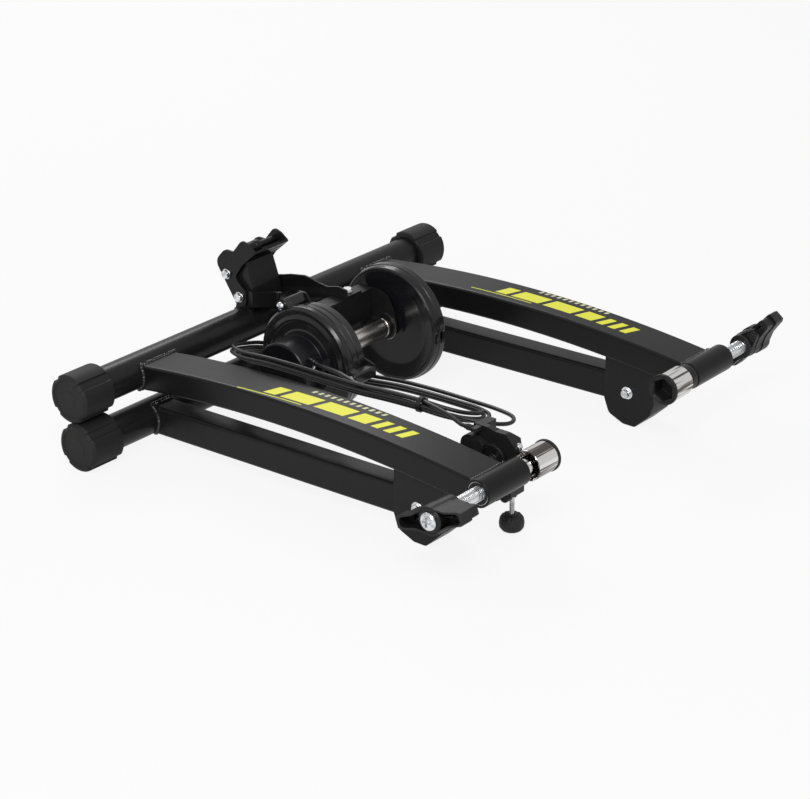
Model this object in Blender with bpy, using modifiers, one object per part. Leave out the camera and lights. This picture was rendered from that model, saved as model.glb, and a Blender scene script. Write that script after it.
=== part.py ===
# Folding magnetic bicycle trainer, folded flat, with its bar remote and its tied cable.
# Units are metres and +Z is up. The cross tubes run along X, the axle clamps are on the -Y side.
# Places are measured from the floor point under the middle of the upper cross tube.
# The near side is -X, the far side is +X.
import math

import bmesh
import bpy
from mathutils import Matrix, Vector, geometry

GAP = 0.0003                    # clearance between pieces that touch
PAST = 0.01                     # how far a cutter runs past what it cuts
THROUGH = 0.1                   # half length of a cutter that goes through several pieces
FRAME_Y = 0.2240                # upper cross tube, from the middle of the whole object

# Cross tubes and their end caps
WIDTH = 0.545                   # over the end caps
TUBE_RADIUS = 0.0175
TUBE_WALL = 0.002
CAP_RADIUS = 0.0245
CAP_LENGTH = 0.040
CAP_FACE = 0.006
CAP_EDGE = 0.004
CAP_NOTCH_WIDTH = 0.007
CAP_NOTCH_DEPTH = 0.0018
TUBE_SETBACK = 0.0086           # lower tube, in front of the upper one
CAP_LIP = 0.001

# Upper arms, arched rectangular tube
ARM_X = 0.165
ARM_WIDTH = 0.047
ARM_HEIGHT = 0.026
ARM_WALL = 0.002
ARM_CORNER = 0.004
ARM_RISE = 0.013                # how far the arch stands above its chord
ARM_REAR_TOP_Z = 0.0843
ARM_FRONT_TOP_Z = 0.0864
BEAD = 0.003                    # weld bead round the end of an arm
ARM_START_Y = -0.002
ARM_BORE_Y = 0.010
BEAD_END_Y = -0.030
ARM_STEPS = 10

# Axle sleeves
SLEEVE_Y = -0.4326
SLEEVE_Z = 0.0791
SLEEVE_RADIUS = 0.0134
SLEEVE_WALL = 0.0022
SLEEVE_LENGTH = 0.060
BUSH_LENGTH = 0.011
BUSH_RECESS = 0.001

# Lower arms and the gussets that carry them
LOWER_ARM_WIDTH = 0.026
LOWER_ARM_HEIGHT = 0.030
LOWER_ARM_CORNER = 0.003
LOWER_ARM_OUT = 0.0012          # lower arms stand a little further apart than the upper ones
LOWER_BORE_START = 0.022        # solid end at the pivot bolt
LOWER_BEAD_LENGTH = 0.030
PIVOT_Y = -0.355
PIVOT_Z = 0.0354
GUSSET_WIDTH = 0.034
GUSSET_PLATE = 0.0023
GUSSET_REAR = 0.028             # from the pivot, towards the tubes
GUSSET_FRONT = 0.029
GUSSET_CORNERS = ((0.028, 0.017), (0.021, 0.009), (0.002, 0), (-0.009, 0), (-0.025, 0.0156), (-0.031, 0.030))
GUSSET_ROOM = ((0.0045, -0.01), (-0.0232, 0.0172), (-0.0287, 0.0305))
PIVOT_BOLT_RADIUS = 0.004
PIVOT_HEAD_RADIUS = 0.0062
PIVOT_HEAD_HEIGHT = 0.0045

# Axle clamps, distances along X from the middle
ROD_RADIUS = 0.007
SPIGOT_RADIUS = 0.005
ROD_CLEARANCE = 0.0003
CUP_MOUTH_X = 0.092
CUP_LENGTH = 0.0305
CUP_RADIUS = 0.0146
CUP_WALL = 0.0016
CUP_FLOOR_DEPTH = 0.016
CUP_FLOOR = 0.003
NECK_RADIUS = 0.0088
NECK_LENGTH = 0.0115
INSERT_RIM = 0.003
INSERT_WALL = 0.0042
INSERT_FLOOR = 0.002
RIM_STEP = 0.0006               # the insert's rim stands out from the cup
HANDLE_X = 0.228
HANDLE_LENGTH = 0.034
HANDLE_HUB_RADIUS = 0.0125
HANDLE_REACH = 0.039
HANDLE_TIP_RADIUS = 0.0068
HANDLE_DEPTH = 0.025
HANDLE_WALL = 0.0024
HANDLE_POCKET = 0.014
HANDLE_END = 0.007
HANDLE_TILT = {"near": 20.0, "far": 50.0}
SCREW_HEAD_RADIUS = 0.0075
SCREW_HEAD_HEIGHT = 0.0048
SCREW_RADIUS = 0.0026
LOCK_RING_RADIUS = 0.0128
LOCK_RING_BACK = 0.003          # from the cup's back

# Swing mount on the upper tube
SWING_Y = -0.002
SWING_Z = 0.105
SWING_BOLT_RADIUS = 0.004
PLATE = 0.0022                  # pressed steel of the mount, post, lever and swing arm
MOUNT_MIDDLE_X = -0.009
MOUNT_EAR_X = 0.0175            # outer face of an ear, from the middle of the mount
EAR_RADIUS = 0.009
BRIDGE_Z = 0.0912
BRACKET_FOOT = ((0.014, 0.079), (-0.0155, 0.079), (-0.0135, 0.092))
BRACKET_BACK = (0.010, 0.092)
POST_EAR_RADIUS = 0.0078
POST_BOLT_EAR_RADIUS = 0.0062
POST_TOP_Y = -0.008
POST_TOP_Z = 0.139
POST_BOTTOM_Y = -0.0160
POST_BOTTOM_Z = 0.1165
LEVER_BOLT_Y = 0.0147
LEVER_BOLT_Z = 0.1262
LEVER_GAP = 0.0028              # between the post and the lever's plates
ARM_SIDE_NEAR_X = -0.0315
ARM_SIDE_FAR_X = 0.020
BOLT_HEAD_RADIUS = 0.0052
BOLT_HEAD_HEIGHT = 0.0035
BOLT_END = 0.003

# Resistance unit, on the roller's axis
AXLE_Y = -0.117
AXLE_Z = 0.074
SHAFT_RADIUS = 0.005
ROLLER_RADIUS = 0.0105
ROLLER_LENGTH = 0.0865
ROLLER_NEAR_X = -0.0303
YOKE_PLATE = 0.0022
YOKE_NEAR_X = -0.0367
YOKE_FAR_X = 0.0605
YOKE_TOP_Z = 0.111
YOKE_DEPTH = 0.018
YOKE_FRONT_Y = -0.100
YOKE_BOLT_X = 0.030
YOKE_BOLT_Y = -0.091
YOKE_BOLT_RADIUS = 0.003
BEARING_RADIUS = 0.012
DRUM_FACE_X = -0.066
DRUM_BACK_X = -0.037
DRUM_FRONT_RADIUS = 0.0575
DRUM_BACK_RADIUS = 0.054
DRUM_WALL = 0.0024
LUG_RADIUS = 0.006
LUG_OUT = 0.0031                # the lugs' axis, outside the drum
LUG_ANGLES = {"upper": 61.5, "lower": 181.0}
LUG_SCREW_RADIUS = 0.002
LUG_HEAD_RADIUS = 0.0042
LUG_HEAD_HEIGHT = 0.003
BOSS_FACE_X = -0.099
BOSS_RADIUS = 0.031
BOSS_WALL = 0.0025
SPINDLE_RADIUS = 0.006
PULLEY_RADIUS = 0.022
CARRIER_RADIUS = 0.047
CARRIER_X = -0.061
CARRIER_THICKNESS = 0.006
DISC_RADIUS = 0.050
DISC_X = -0.050
DISC_THICKNESS = 0.005
FLYWHEEL_FRONT_X = 0.063
FLYWHEEL_BACK_X = 0.079
FLYWHEEL_FRONT_RADIUS = 0.060
FLYWHEEL_BACK_RADIUS = 0.062
FLYWHEEL_WEB_X = 0.068
FLYWHEEL_WEB = 0.006
FLYWHEEL_RIM = 0.0045
NUT_RADIUS = 0.009
NUT_HEIGHT = 0.006
BEARING_GAP = 0.0004
BEARING_LIP = 0.002
PULLEY_BACK = 0.006             # from the boss's inner face
PULLEY_WIDTH = 0.007
HUB_RADIUS = 0.010
HUB_LENGTH = 0.004
GLAND_START = (-0.0850, -0.1400, 0.0900)
GLAND_END = (-0.0890, -0.1530, 0.0910)
GLAND_RADIUS = 0.0036
GLAND_BLOCK = ((-0.0900, -0.1490, 0.0845), (-0.0790, -0.1370, 0.0935))

# Remote and its clamp for a handlebar
REMOTE_X = -0.118               # near face of the body
REMOTE_WIDTH = 0.020
REMOTE_DRUM_Y = -0.392
REMOTE_DRUM_Z = 0.0735
REMOTE_DRUM_RADIUS = 0.0145
REMOTE_LEVER_THICKNESS = 0.004
BAR_Y = -0.388
BAR_Z = 0.052
BAR_RADIUS = 0.0112
CLAMP_SCREW_Y = -0.4055
CLAMP_SCREW_RADIUS = 0.0025
KNOB_RADIUS = 0.011
KNOB_HEIGHT = 0.0175
KNOB_BOTTOM_Z = 0.0006
KNOB_THREAD = 0.008
REMOTE_SCREW_RADIUS = 0.002
REMOTE_FINGER = 0.005           # how far the lever's finger stands out from its disc
JAW_DROP = 0.0075
JAW_WALL = 0.0043
JAW_FRONT_Y = -0.4115
BAR_LEG = 0.0165                # the leg's front, from the bar's middle
ADJUSTER_START = (-0.1240, -0.3720, 0.0990)
ADJUSTER_END = (-0.1240, -0.3630, 0.0990)
ADJUSTER_RADIUS = 0.0029

# Cable: black housing, wound four times and tied once
CABLE_RADIUS = 0.002
HANK_LOOPS = 4
STRAND_PITCH = 0.0049           # between the middles of neighbouring strands
LONG_LOOP = 0.026               # how much further the last loop reaches
TIE_LENGTH = 0.0045
TIE_WALL = 0.0012
TIE_HEAD = 0.0056
HANK_END_INDEX = 2              # the strand leaves the bundle here, after its last loop
HANK_TURN = 144.0               # where the strand starts round the bundle, degrees
SAMPLES = 2                     # along the cable, between two points of its route
NEIGHBOURS = 8                  # runs of the same strand that the gap test leaves out

# Worked out from the sizes above
LOWER_Z = CAP_RADIUS
UPPER_Z = LOWER_Z + math.sqrt((2 * CAP_RADIUS + GAP) ** 2 - TUBE_SETBACK ** 2)
LOWER_Y = -TUBE_SETBACK
SLEEVE_OUTER_X = ARM_X + SLEEVE_LENGTH / 2
SLEEVE_INNER_X = ARM_X - SLEEVE_LENGTH / 2
CUP_BACK_X = CUP_MOUTH_X + CUP_LENGTH
NECK_END_X = CUP_BACK_X + NECK_LENGTH
HANDLE_END_X = HANDLE_X + HANDLE_LENGTH
ROLLER_FAR_X = ROLLER_NEAR_X + ROLLER_LENGTH
ARM_END_Y = SLEEVE_Y + 0.6 * SLEEVE_RADIUS
POST_OUTER_X = MOUNT_EAR_X + GAP + PLATE
LEVER_OUTER_X = POST_OUTER_X + LEVER_GAP + PLATE
LUG_REACH = DRUM_FRONT_RADIUS + LUG_OUT
REMOTE_BACK_Y = SLEEVE_Y + CUP_RADIUS + RIM_STEP + GAP

# Steps round a turned piece
ROUND = 24
SMALL_ROUND = 12
LUG_ROUND = 16
TIE_ROUND = 20
DRUM_ROUND = 36

SIDES = {"near": -1, "far": 1}


# Scene and objects

def clear_scene():
    for item in list(bpy.data.objects):
        bpy.data.objects.remove(item, do_unlink=True)


def new_collection(name):
    collection = bpy.data.collections.new(name)
    bpy.context.scene.collection.children.link(collection)
    return collection


def new_material(name, colour, roughness, metallic):
    material = bpy.data.materials.new(name)
    material.use_nodes = True
    shader = material.node_tree.nodes["Principled BSDF"]
    shader.inputs["Base Color"].default_value = (*colour, 1.0)
    shader.inputs["Roughness"].default_value = roughness
    shader.inputs["Metallic"].default_value = metallic
    return material


clear_scene()
PARTS = new_collection("bike_trainer")
CUTTERS = new_collection("cutters")
MATERIALS = {
    "black_steel": new_material("black_steel", (0.016, 0.016, 0.018), 0.34, 0.0),
    "black_plastic": new_material("black_plastic", (0.018, 0.018, 0.019), 0.5, 0.0),
    "gloss_plastic": new_material("gloss_plastic", (0.012, 0.012, 0.014), 0.22, 0.0),
    "black_rubber": new_material("black_rubber", (0.02, 0.02, 0.02), 0.75, 0.0),
    "cable_black": new_material("cable_black", (0.02, 0.02, 0.021), 0.42, 0.0),
    "zinc": new_material("zinc", (0.72, 0.74, 0.76), 0.32, 1.0),
    "chrome": new_material("chrome", (0.83, 0.83, 0.84), 0.08, 1.0),
    "aluminium": new_material("aluminium", (0.68, 0.69, 0.70), 0.4, 1.0),
}


def new_pivot(name, x, y, z, parent=None):
    pivot = bpy.data.objects.new(name, None)
    PARTS.objects.link(pivot)
    pivot.location = (x, y, z)
    if parent:
        pivot.parent = parent
    return pivot


ORIGIN = new_pivot("trainer_place", 0, FRAME_Y, 0)


def link(item, matrix=None):
    CUTTERS.objects.link(item)
    item.parent = ORIGIN
    item.hide_render = True
    item.display_type = "WIRE"
    item.matrix_basis = matrix or Matrix.Identity(4)
    return item


def baked(item):
    # The item's evaluated shape as a plain closed mesh, in the same place.
    bpy.context.view_layer.update()
    depsgraph = bpy.context.evaluated_depsgraph_get()
    mesh = bpy.data.meshes.new_from_object(item.evaluated_get(depsgraph))
    shape = bmesh.new()
    shape.from_mesh(mesh)
    bmesh.ops.remove_doubles(shape, verts=shape.verts, dist=0.000001)
    bmesh.ops.recalc_face_normals(shape, faces=shape.faces)
    shape.to_mesh(mesh)
    shape.free()
    mesh.shade_smooth()
    mesh.set_sharp_from_angle(angle=math.radians(35))
    name = item.name
    matrix = item.matrix_basis.copy()
    bpy.data.objects.remove(item, do_unlink=True)
    return link(bpy.data.objects.new(name, mesh), matrix)


def place(item, name, body, material):
    # The finished piece takes its name, its moving body and its material.
    CUTTERS.objects.unlink(item)
    PARTS.objects.link(item)
    item.name = name
    item.hide_render = False
    item.display_type = "TEXTURED"
    if body is not ORIGIN:
        item.parent = body
        item.matrix_basis = Matrix.Translation(-body.location) @ item.matrix_basis
    item.data.materials.clear()
    item.data.materials.append(MATERIALS[material])
    return item


def modify(item, other, operation):
    step = item.modifiers.new(operation.lower(), "BOOLEAN")
    step.operation = operation
    step.solver = "EXACT"
    step.object = other


def cut(item, *cutters):
    for cutter in cutters:
        modify(item, cutter, "DIFFERENCE")
    return item


def join(item, *others):
    for other in others:
        modify(item, other, "UNION")
    return item


def keep(item, other):
    modify(item, other, "INTERSECT")
    return item


def bevel(item, width, segments=2, angle=50):
    step = item.modifiers.new("edge", "BEVEL")
    step.width = width
    step.segments = segments
    step.limit_method = "ANGLE"
    step.angle_limit = math.radians(angle)
    return item


# Shapes

def across(side, y, z):
    # Local Z runs along X, outwards from the middle on the given side.
    return Matrix.Translation((0, y, z)) @ Matrix.Rotation(side * math.pi / 2, 4, "Y")


def upright(x, y):
    return Matrix.Translation((x, y, 0))


def turned(name, profile, matrix, steps=ROUND):
    # A profile of (height, radius) points, down the outer side and up the bore.
    mesh = bpy.data.meshes.new(name)
    edges = [(index, index + 1) for index in range(len(profile) - 1)]
    if profile[0][1] > 0 and profile[-1][1] > 0:
        edges.append((len(profile) - 1, 0))
    mesh.from_pydata([(radius, 0, height) for height, radius in profile], edges, [])
    item = link(bpy.data.objects.new(name, mesh), matrix)
    screw = item.modifiers.new("turn", "SCREW")
    screw.axis = "Z"
    screw.steps = steps
    screw.render_steps = steps
    screw.use_merge_vertices = True
    screw.merge_threshold = 0.00001
    return baked(item)


def ring(name, low, high, radius, bore, matrix, steps=ROUND):
    return turned(name, [(high, radius), (low, radius), (low, bore), (high, bore)], matrix, steps)


def rod(name, low, high, radius, matrix, steps=ROUND):
    return turned(name, [(high, 0), (high, radius), (low, radius), (low, 0)], matrix, steps)


def rod_between(name, start, end, radius, steps=ROUND):
    start, end = Vector(start), Vector(end)
    turn = (end - start).to_track_quat("Z", "Y").to_matrix().to_4x4()
    return rod(name, 0, (end - start).length, radius, Matrix.Translation(start) @ turn, steps)


def box(name, low, high):
    size = [top - bottom for bottom, top in zip(low, high)]
    middle = [(top + bottom) / 2 for bottom, top in zip(low, high)]
    mesh = bpy.data.meshes.new(name)
    shape = bmesh.new()
    bmesh.ops.create_cube(shape, size=1)
    bmesh.ops.scale(shape, vec=size, verts=shape.verts)
    shape.to_mesh(mesh)
    shape.free()
    return link(bpy.data.objects.new(name, mesh), Matrix.Translation(middle))


def arc(centre, radius, start, end, steps):
    # Points of an arc, angles in degrees from the outline's first axis.
    points = []
    for index in range(steps + 1):
        angle = math.radians(start + (end - start) * index / steps)
        points.append((centre[0] + radius * math.cos(angle), centre[1] + radius * math.sin(angle)))
    return points


def rounded(corners, steps=4):
    # A closed outline whose corners (a, b, radius) are rounded off.
    points = []
    count = len(corners)
    for index, (a, b, radius) in enumerate(corners):
        here = Vector((a, b))
        before = Vector(corners[index - 1][:2]) - here
        after = Vector(corners[(index + 1) % count][:2]) - here
        if radius == 0:
            points.append((a, b))
            continue
        half = before.angle(after) / 2
        reach = min(radius / math.tan(half), before.length * 0.48, after.length * 0.48)
        start = here + before.normalized() * reach
        end = here + after.normalized() * reach
        for step in range(steps + 1):
            share = step / steps
            point = start * (1 - share) ** 2 + here * 2 * share * (1 - share) + end * share ** 2
            points.append((point.x, point.y))
    return points


def flat(name, outline, thickness, matrix):
    curve = bpy.data.curves.new(name, "CURVE")
    curve.dimensions = "2D"
    curve.fill_mode = "BOTH"
    curve.extrude = thickness / 2
    spline = curve.splines.new("POLY")
    spline.points.add(len(outline) - 1)
    for point, (a, b) in zip(spline.points, outline):
        point.co = (a, b, 0, 1)
    spline.use_cyclic_u = True
    return baked(link(bpy.data.objects.new(name, curve), matrix))


def plate(name, outline, low_x, high_x):
    # A (y, z) outline, thick along X.
    turn = Matrix(((0, 0, 1, (low_x + high_x) / 2), (1, 0, 0, 0), (0, 1, 0, 0), (0, 0, 0, 1)))
    return flat(name, outline, abs(high_x - low_x), turn)


def plan(name, outline, low_z, high_z):
    # An (x, y) outline, thick along Z.
    return flat(name, outline, high_z - low_z, Matrix.Translation((0, 0, (low_z + high_z) / 2)))


def hole_x(y, z, radius, low_x, high_x, steps=SMALL_ROUND):
    return rod("hole", low_x, high_x, radius, across(1, y, z), steps)


def bolt_profile(head_start, head_height, head_radius, end, radius, nut_start, nut_end):
    # A bolt with its nut, heights from the head's outer face to the nut's.
    nut_radius = head_radius * 0.95
    return [
        (nut_end, 0), (nut_end, nut_radius), (nut_start, nut_radius), (nut_start, radius),
        (head_start + head_height, radius), (head_start + head_height, head_radius),
        (head_start + head_height * 0.3, head_radius), (head_start, head_radius * 0.72),
        (head_start, 0),
    ]


# Upper frame

ARCH_REAR = Vector((-math.sqrt(TUBE_RADIUS ** 2 - (ARM_REAR_TOP_Z - UPPER_Z) ** 2), ARM_REAR_TOP_Z))
ARCH_FRONT = Vector((
    SLEEVE_Y + math.sqrt(SLEEVE_RADIUS ** 2 - (ARM_FRONT_TOP_Z - SLEEVE_Z) ** 2), ARM_FRONT_TOP_Z))
ARCH_CHORD = ARCH_FRONT - ARCH_REAR
ARCH_RADIUS = (ARCH_CHORD.length ** 2 / 4 + ARM_RISE ** 2) / (2 * ARM_RISE)
ARCH_UP = Vector((ARCH_CHORD.y, -ARCH_CHORD.x)).normalized()
ARCH_CENTRE = (ARCH_REAR + ARCH_FRONT) / 2 - ARCH_UP * (ARCH_RADIUS - ARM_RISE)


def arch_z(y, drop):
    # Height of the arm's top face at y, or of a face that lies the drop below it.
    return ARCH_CENTRE.y + math.sqrt((ARCH_RADIUS - drop) ** 2 - (y - ARCH_CENTRE.x) ** 2)


def arch_line(start, end, drop, steps=ARM_STEPS):
    points = []
    for index in range(steps + 1):
        y = start + (end - start) * index / steps
        points.append((y, arch_z(y, drop)))
    return points


def make_tube(name, y, z, body):
    half = WIDTH / 2 - CAP_FACE - GAP
    tube = ring(name, -half, half, TUBE_RADIUS, TUBE_RADIUS - TUBE_WALL, across(1, y, z))
    return place(tube, name, body, "black_steel")


def make_cap(name, side, y, z, body):
    start = WIDTH / 2 - CAP_LENGTH
    end = WIDTH / 2
    bore = TUBE_RADIUS + GAP
    cap = turned(name, [
        (end - CAP_FACE, 0), (end - CAP_FACE, bore), (start, bore), (start, CAP_RADIUS - CAP_LIP),
        (start + CAP_LIP, CAP_RADIUS), (end - CAP_EDGE, CAP_RADIUS),
        (end - CAP_EDGE * 0.3, CAP_RADIUS - CAP_EDGE * 0.3), (end, CAP_RADIUS - CAP_EDGE), (end, 0),
    ], across(side, y, z))
    for quarter in range(4):
        angle = math.radians(45 + 90 * quarter)
        notch = box("notch", (-CAP_LENGTH, -CAP_NOTCH_WIDTH / 2, -CAP_NOTCH_DEPTH),
                    (CAP_LENGTH, CAP_NOTCH_WIDTH / 2, CAP_NOTCH_DEPTH))
        middle = Matrix.Translation((side * (start + end) / 2, y, z))
        reach = Matrix.Translation((0, 0, CAP_RADIUS))
        notch.matrix_basis = middle @ Matrix.Rotation(angle, 4, "X") @ reach
        cut(cap, notch)
    return place(cap, name, body, "black_rubber")


def bead(side, x, width, outline, y, z):
    # Weld bead: a slightly larger slice of the arm, kept where it meets the tube.
    half = width / 2 + BEAD / 2
    item = plate("bead", outline, side * x - half, side * x + half)
    return keep(item, rod("bead_reach", -WIDTH / 2, WIDTH / 2, TUBE_RADIUS + BEAD, across(1, y, z)))


def make_upper_arm(label, side):
    name = "upper_arm_" + label
    half = ARM_WIDTH / 2
    middle = side * ARM_X
    outline = arch_line(ARM_START_Y, ARM_END_Y, 0) + arch_line(ARM_END_Y, ARM_START_Y, ARM_HEIGHT)
    arm = bevel(plate(name, outline, middle - half, middle + half), ARM_CORNER, 3)
    over = BEAD / 2
    bead_outline = arch_line(ARM_START_Y, BEAD_END_Y, -over, 1)
    bead_outline += arch_line(BEAD_END_Y, ARM_START_Y, ARM_HEIGHT + over, 1)
    join(arm, bead(side, ARM_X, ARM_WIDTH, bead_outline, 0, UPPER_Z))
    inside = arch_line(ARM_BORE_Y, ARM_END_Y - PAST, ARM_WALL)
    inside += arch_line(ARM_END_Y - PAST, ARM_BORE_Y, ARM_HEIGHT - ARM_WALL)
    cut(arm, plate("arm_bore", inside, middle - half + ARM_WALL, middle + half - ARM_WALL))
    cut(arm, rod("tube_cut", -WIDTH / 2, WIDTH / 2, TUBE_RADIUS + GAP, across(1, 0, UPPER_Z)))
    sleeve_cut = rod("sleeve_cut", ARM_X - SLEEVE_LENGTH, ARM_X + SLEEVE_LENGTH, SLEEVE_RADIUS + GAP,
                     across(side, SLEEVE_Y, SLEEVE_Z))
    cut(arm, sleeve_cut)
    return place(arm, name, ORIGIN, "black_steel")


def make_sleeve(label, side):
    place_x = across(side, SLEEVE_Y, SLEEVE_Z)
    sleeve = ring("axle_sleeve", SLEEVE_INNER_X, SLEEVE_OUTER_X, SLEEVE_RADIUS,
                  SLEEVE_RADIUS - SLEEVE_WALL, place_x)
    place(sleeve, "axle_sleeve_" + label, ORIGIN, "black_steel")
    high = SLEEVE_OUTER_X - BUSH_RECESS
    bush = ring("sleeve_bush", high - BUSH_LENGTH, high, SLEEVE_RADIUS - SLEEVE_WALL - GAP,
                ROD_RADIUS + ROD_CLEARANCE, place_x)
    place(bush, "sleeve_bush_" + label, ORIGIN, "zinc")


def make_gusset(label, side):
    name = "pivot_gusset_" + label
    half = GUSSET_WIDTH / 2
    middle = side * ARM_X
    top = ARM_HEIGHT + GAP
    rear = PIVOT_Y + GUSSET_REAR
    front = PIVOT_Y - GUSSET_FRONT
    outline = arch_line(front, rear, top, 4)
    outline += [(PIVOT_Y + y, z) for y, z in GUSSET_CORNERS]
    gusset = plate(name, outline, middle - half, middle + half)
    inside = [(front + GUSSET_PLATE, THROUGH), (rear + PAST, THROUGH), (rear + PAST, -PAST)]
    inside += [(PIVOT_Y + y, z) for y, z in GUSSET_ROOM]
    inner = half - GUSSET_PLATE
    cut(gusset, plate("gusset_inside", inside, middle - inner, middle + inner))
    cut(gusset, hole_x(PIVOT_Y, PIVOT_Z, PIVOT_BOLT_RADIUS + GAP, middle - half - PAST, middle + half + PAST))
    place(gusset, name, ORIGIN, "black_steel")
    head = ARM_X + half + GAP + PIVOT_HEAD_HEIGHT
    nut = ARM_X - half - GAP
    profile = bolt_profile(-head, PIVOT_HEAD_HEIGHT, PIVOT_HEAD_RADIUS, -nut, PIVOT_BOLT_RADIUS,
                           -nut, -nut + PIVOT_HEAD_HEIGHT)
    bolt = turned("pivot_bolt", profile, across(-side, PIVOT_Y, PIVOT_Z), SMALL_ROUND)
    place(bolt, "pivot_bolt_" + label, ORIGIN, "zinc")


# Lower frame, which unfolds about the pivot bolts

def make_lower_arm(label, side, body):
    name = "lower_arm_" + label
    pivot = Vector((PIVOT_Y, PIVOT_Z))
    way = Vector((LOWER_Y, LOWER_Z)) - pivot
    length = way.length
    way.normalize()
    rise = Vector((-way.y, way.x))
    half = LOWER_ARM_HEIGHT / 2
    lean = math.degrees(math.atan2(way.y, way.x))
    outline = arc(pivot, half, lean + 90, lean + 270, 8)
    for sign in (-1, 1):
        point = pivot + way * length + rise * half * sign
        outline.append((point.x, point.y))
    middle = side * (ARM_X + LOWER_ARM_OUT)
    wide = LOWER_ARM_WIDTH / 2
    arm = bevel(plate(name, outline, middle - wide, middle + wide), LOWER_ARM_CORNER, 2)
    over = half + BEAD / 2
    ends = ((LOWER_BEAD_LENGTH, 1), (0, 1), (0, -1), (LOWER_BEAD_LENGTH, -1))
    corners = [pivot + way * (length - back) + rise * over * sign for back, sign in ends]
    bead_outline = [(p.x, p.y) for p in corners]
    join(arm, bead(side, ARM_X + LOWER_ARM_OUT, LOWER_ARM_WIDTH, bead_outline, LOWER_Y, LOWER_Z))
    room = half - ARM_WALL
    far_end = length + PAST
    ends = ((LOWER_BORE_START, 1), (far_end, 1), (far_end, -1), (LOWER_BORE_START, -1))
    corners = [pivot + way * along + rise * room * sign for along, sign in ends]
    inside = [(p.x, p.y) for p in corners]
    cut(arm, plate("arm_bore", inside, middle - wide + ARM_WALL, middle + wide - ARM_WALL))
    cut(arm, rod("tube_cut", -WIDTH / 2, WIDTH / 2, TUBE_RADIUS + GAP, across(1, LOWER_Y, LOWER_Z)))
    cut(arm, hole_x(PIVOT_Y, PIVOT_Z, PIVOT_BOLT_RADIUS + GAP, middle - wide - PAST, middle + wide + PAST))
    return place(arm, name, body, "black_steel")


# Axle clamps

def make_clamp(label, side, slide_body, turn_body):
    line = across(side, SLEEVE_Y, SLEEVE_Z)
    floor_low = CUP_MOUTH_X + CUP_FLOOR_DEPTH
    floor_high = floor_low + CUP_FLOOR
    inner = CUP_RADIUS - CUP_WALL
    rim = CUP_MOUTH_X + INSERT_RIM
    bore = SPIGOT_RADIUS + ROD_CLEARANCE
    cup = turned("clamp_cup", [
        (floor_high, 0), (floor_high, bore), (NECK_END_X, bore), (NECK_END_X, NECK_RADIUS),
        (floor_high, NECK_RADIUS), (floor_high, inner), (CUP_BACK_X, inner), (CUP_BACK_X, CUP_RADIUS),
        (rim + GAP, CUP_RADIUS), (rim + GAP, inner), (floor_low, inner), (floor_low, 0),
    ], line)
    place(cup, "clamp_cup_" + label, slide_body, "chrome")
    plug = inner - GAP
    plug_top = floor_low - GAP
    insert = turned("cup_insert", [
        (plug_top, 0), (plug_top, plug), (rim, plug), (rim, CUP_RADIUS + RIM_STEP),
        (CUP_MOUTH_X, CUP_RADIUS + RIM_STEP), (CUP_MOUTH_X, plug - INSERT_WALL),
        (plug_top - INSERT_FLOOR, plug - INSERT_WALL), (plug_top - INSERT_FLOOR, 0),
    ], line)
    place(insert, "cup_insert_" + label, slide_body, "black_rubber")
    top = HANDLE_END_X - HANDLE_END - GAP
    shoulder = NECK_END_X + GAP
    spigot_end = floor_high + GAP
    spindle = turned("clamp_rod", [
        (top, 0), (top, ROD_RADIUS), (shoulder, ROD_RADIUS), (shoulder, SPIGOT_RADIUS),
        (spigot_end, SPIGOT_RADIUS), (spigot_end, 0),
    ], line)
    place(spindle, "clamp_rod_" + label, turn_body, "zinc")
    make_handle(label, side, turn_body)
    head_low = HANDLE_END_X + GAP
    head_high = head_low + SCREW_HEAD_HEIGHT
    screw = turned("handle_screw", [
        (head_high, 0), (head_high, SCREW_HEAD_RADIUS * 0.55),
        (head_low + SCREW_HEAD_HEIGHT * 0.45, SCREW_HEAD_RADIUS), (head_low, SCREW_HEAD_RADIUS),
        (head_low, SCREW_RADIUS), (top + GAP, SCREW_RADIUS), (top + GAP, 0),
    ], line, SMALL_ROUND)
    place(screw, "handle_screw_" + label, turn_body, "zinc")


def wing_outline(inset, tilt):
    # The two wings of a handle round its hub, both tips alike.
    hub = HANDLE_HUB_RADIUS - inset
    tip = HANDLE_TIP_RADIUS - inset
    slope = math.degrees(math.asin((HANDLE_HUB_RADIUS - HANDLE_TIP_RADIUS) / HANDLE_REACH))
    points = arc((HANDLE_REACH, 0), tip, slope - 90, 90 - slope, 6)
    points += arc((0, 0), hub, 90 - slope, 90 + slope, 1)
    points += arc((-HANDLE_REACH, 0), tip, 90 + slope, 270 - slope, 6)
    points += arc((0, 0), hub, 270 - slope, 270 + slope, 1)
    turn = math.radians(180 - tilt)
    c, s = math.cos(turn), math.sin(turn)
    return [(SLEEVE_Y + a * c - b * s, SLEEVE_Z + a * s + b * c) for a, b in points]


def make_handle(label, side, body):
    line = across(side, SLEEVE_Y, SLEEVE_Z)
    tilt = HANDLE_TILT[label]
    outer = HANDLE_END_X
    handle = plate("clamp_handle", wing_outline(0, tilt), side * (outer - HANDLE_DEPTH), side * outer)
    bevel(handle, 0.0012, 1, 60)
    pocket_line = wing_outline(HANDLE_WALL, tilt)
    pocket = plate("pocket", pocket_line, side * (outer - HANDLE_POCKET), side * (outer + PAST))
    cut(handle, pocket)
    join(handle, rod("hub", HANDLE_X, outer, HANDLE_HUB_RADIUS - HANDLE_WALL / 2, line))
    cut(handle, rod("rod_hole", HANDLE_X - PAST, outer - HANDLE_END, ROD_RADIUS + GAP, line))
    cut(handle, rod("screw_hole", HANDLE_X, outer + PAST, SCREW_RADIUS + GAP, line, SMALL_ROUND))
    return place(handle, "clamp_handle_" + label, body, "black_plastic")


# Mount of the resistance unit on the upper tube

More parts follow.
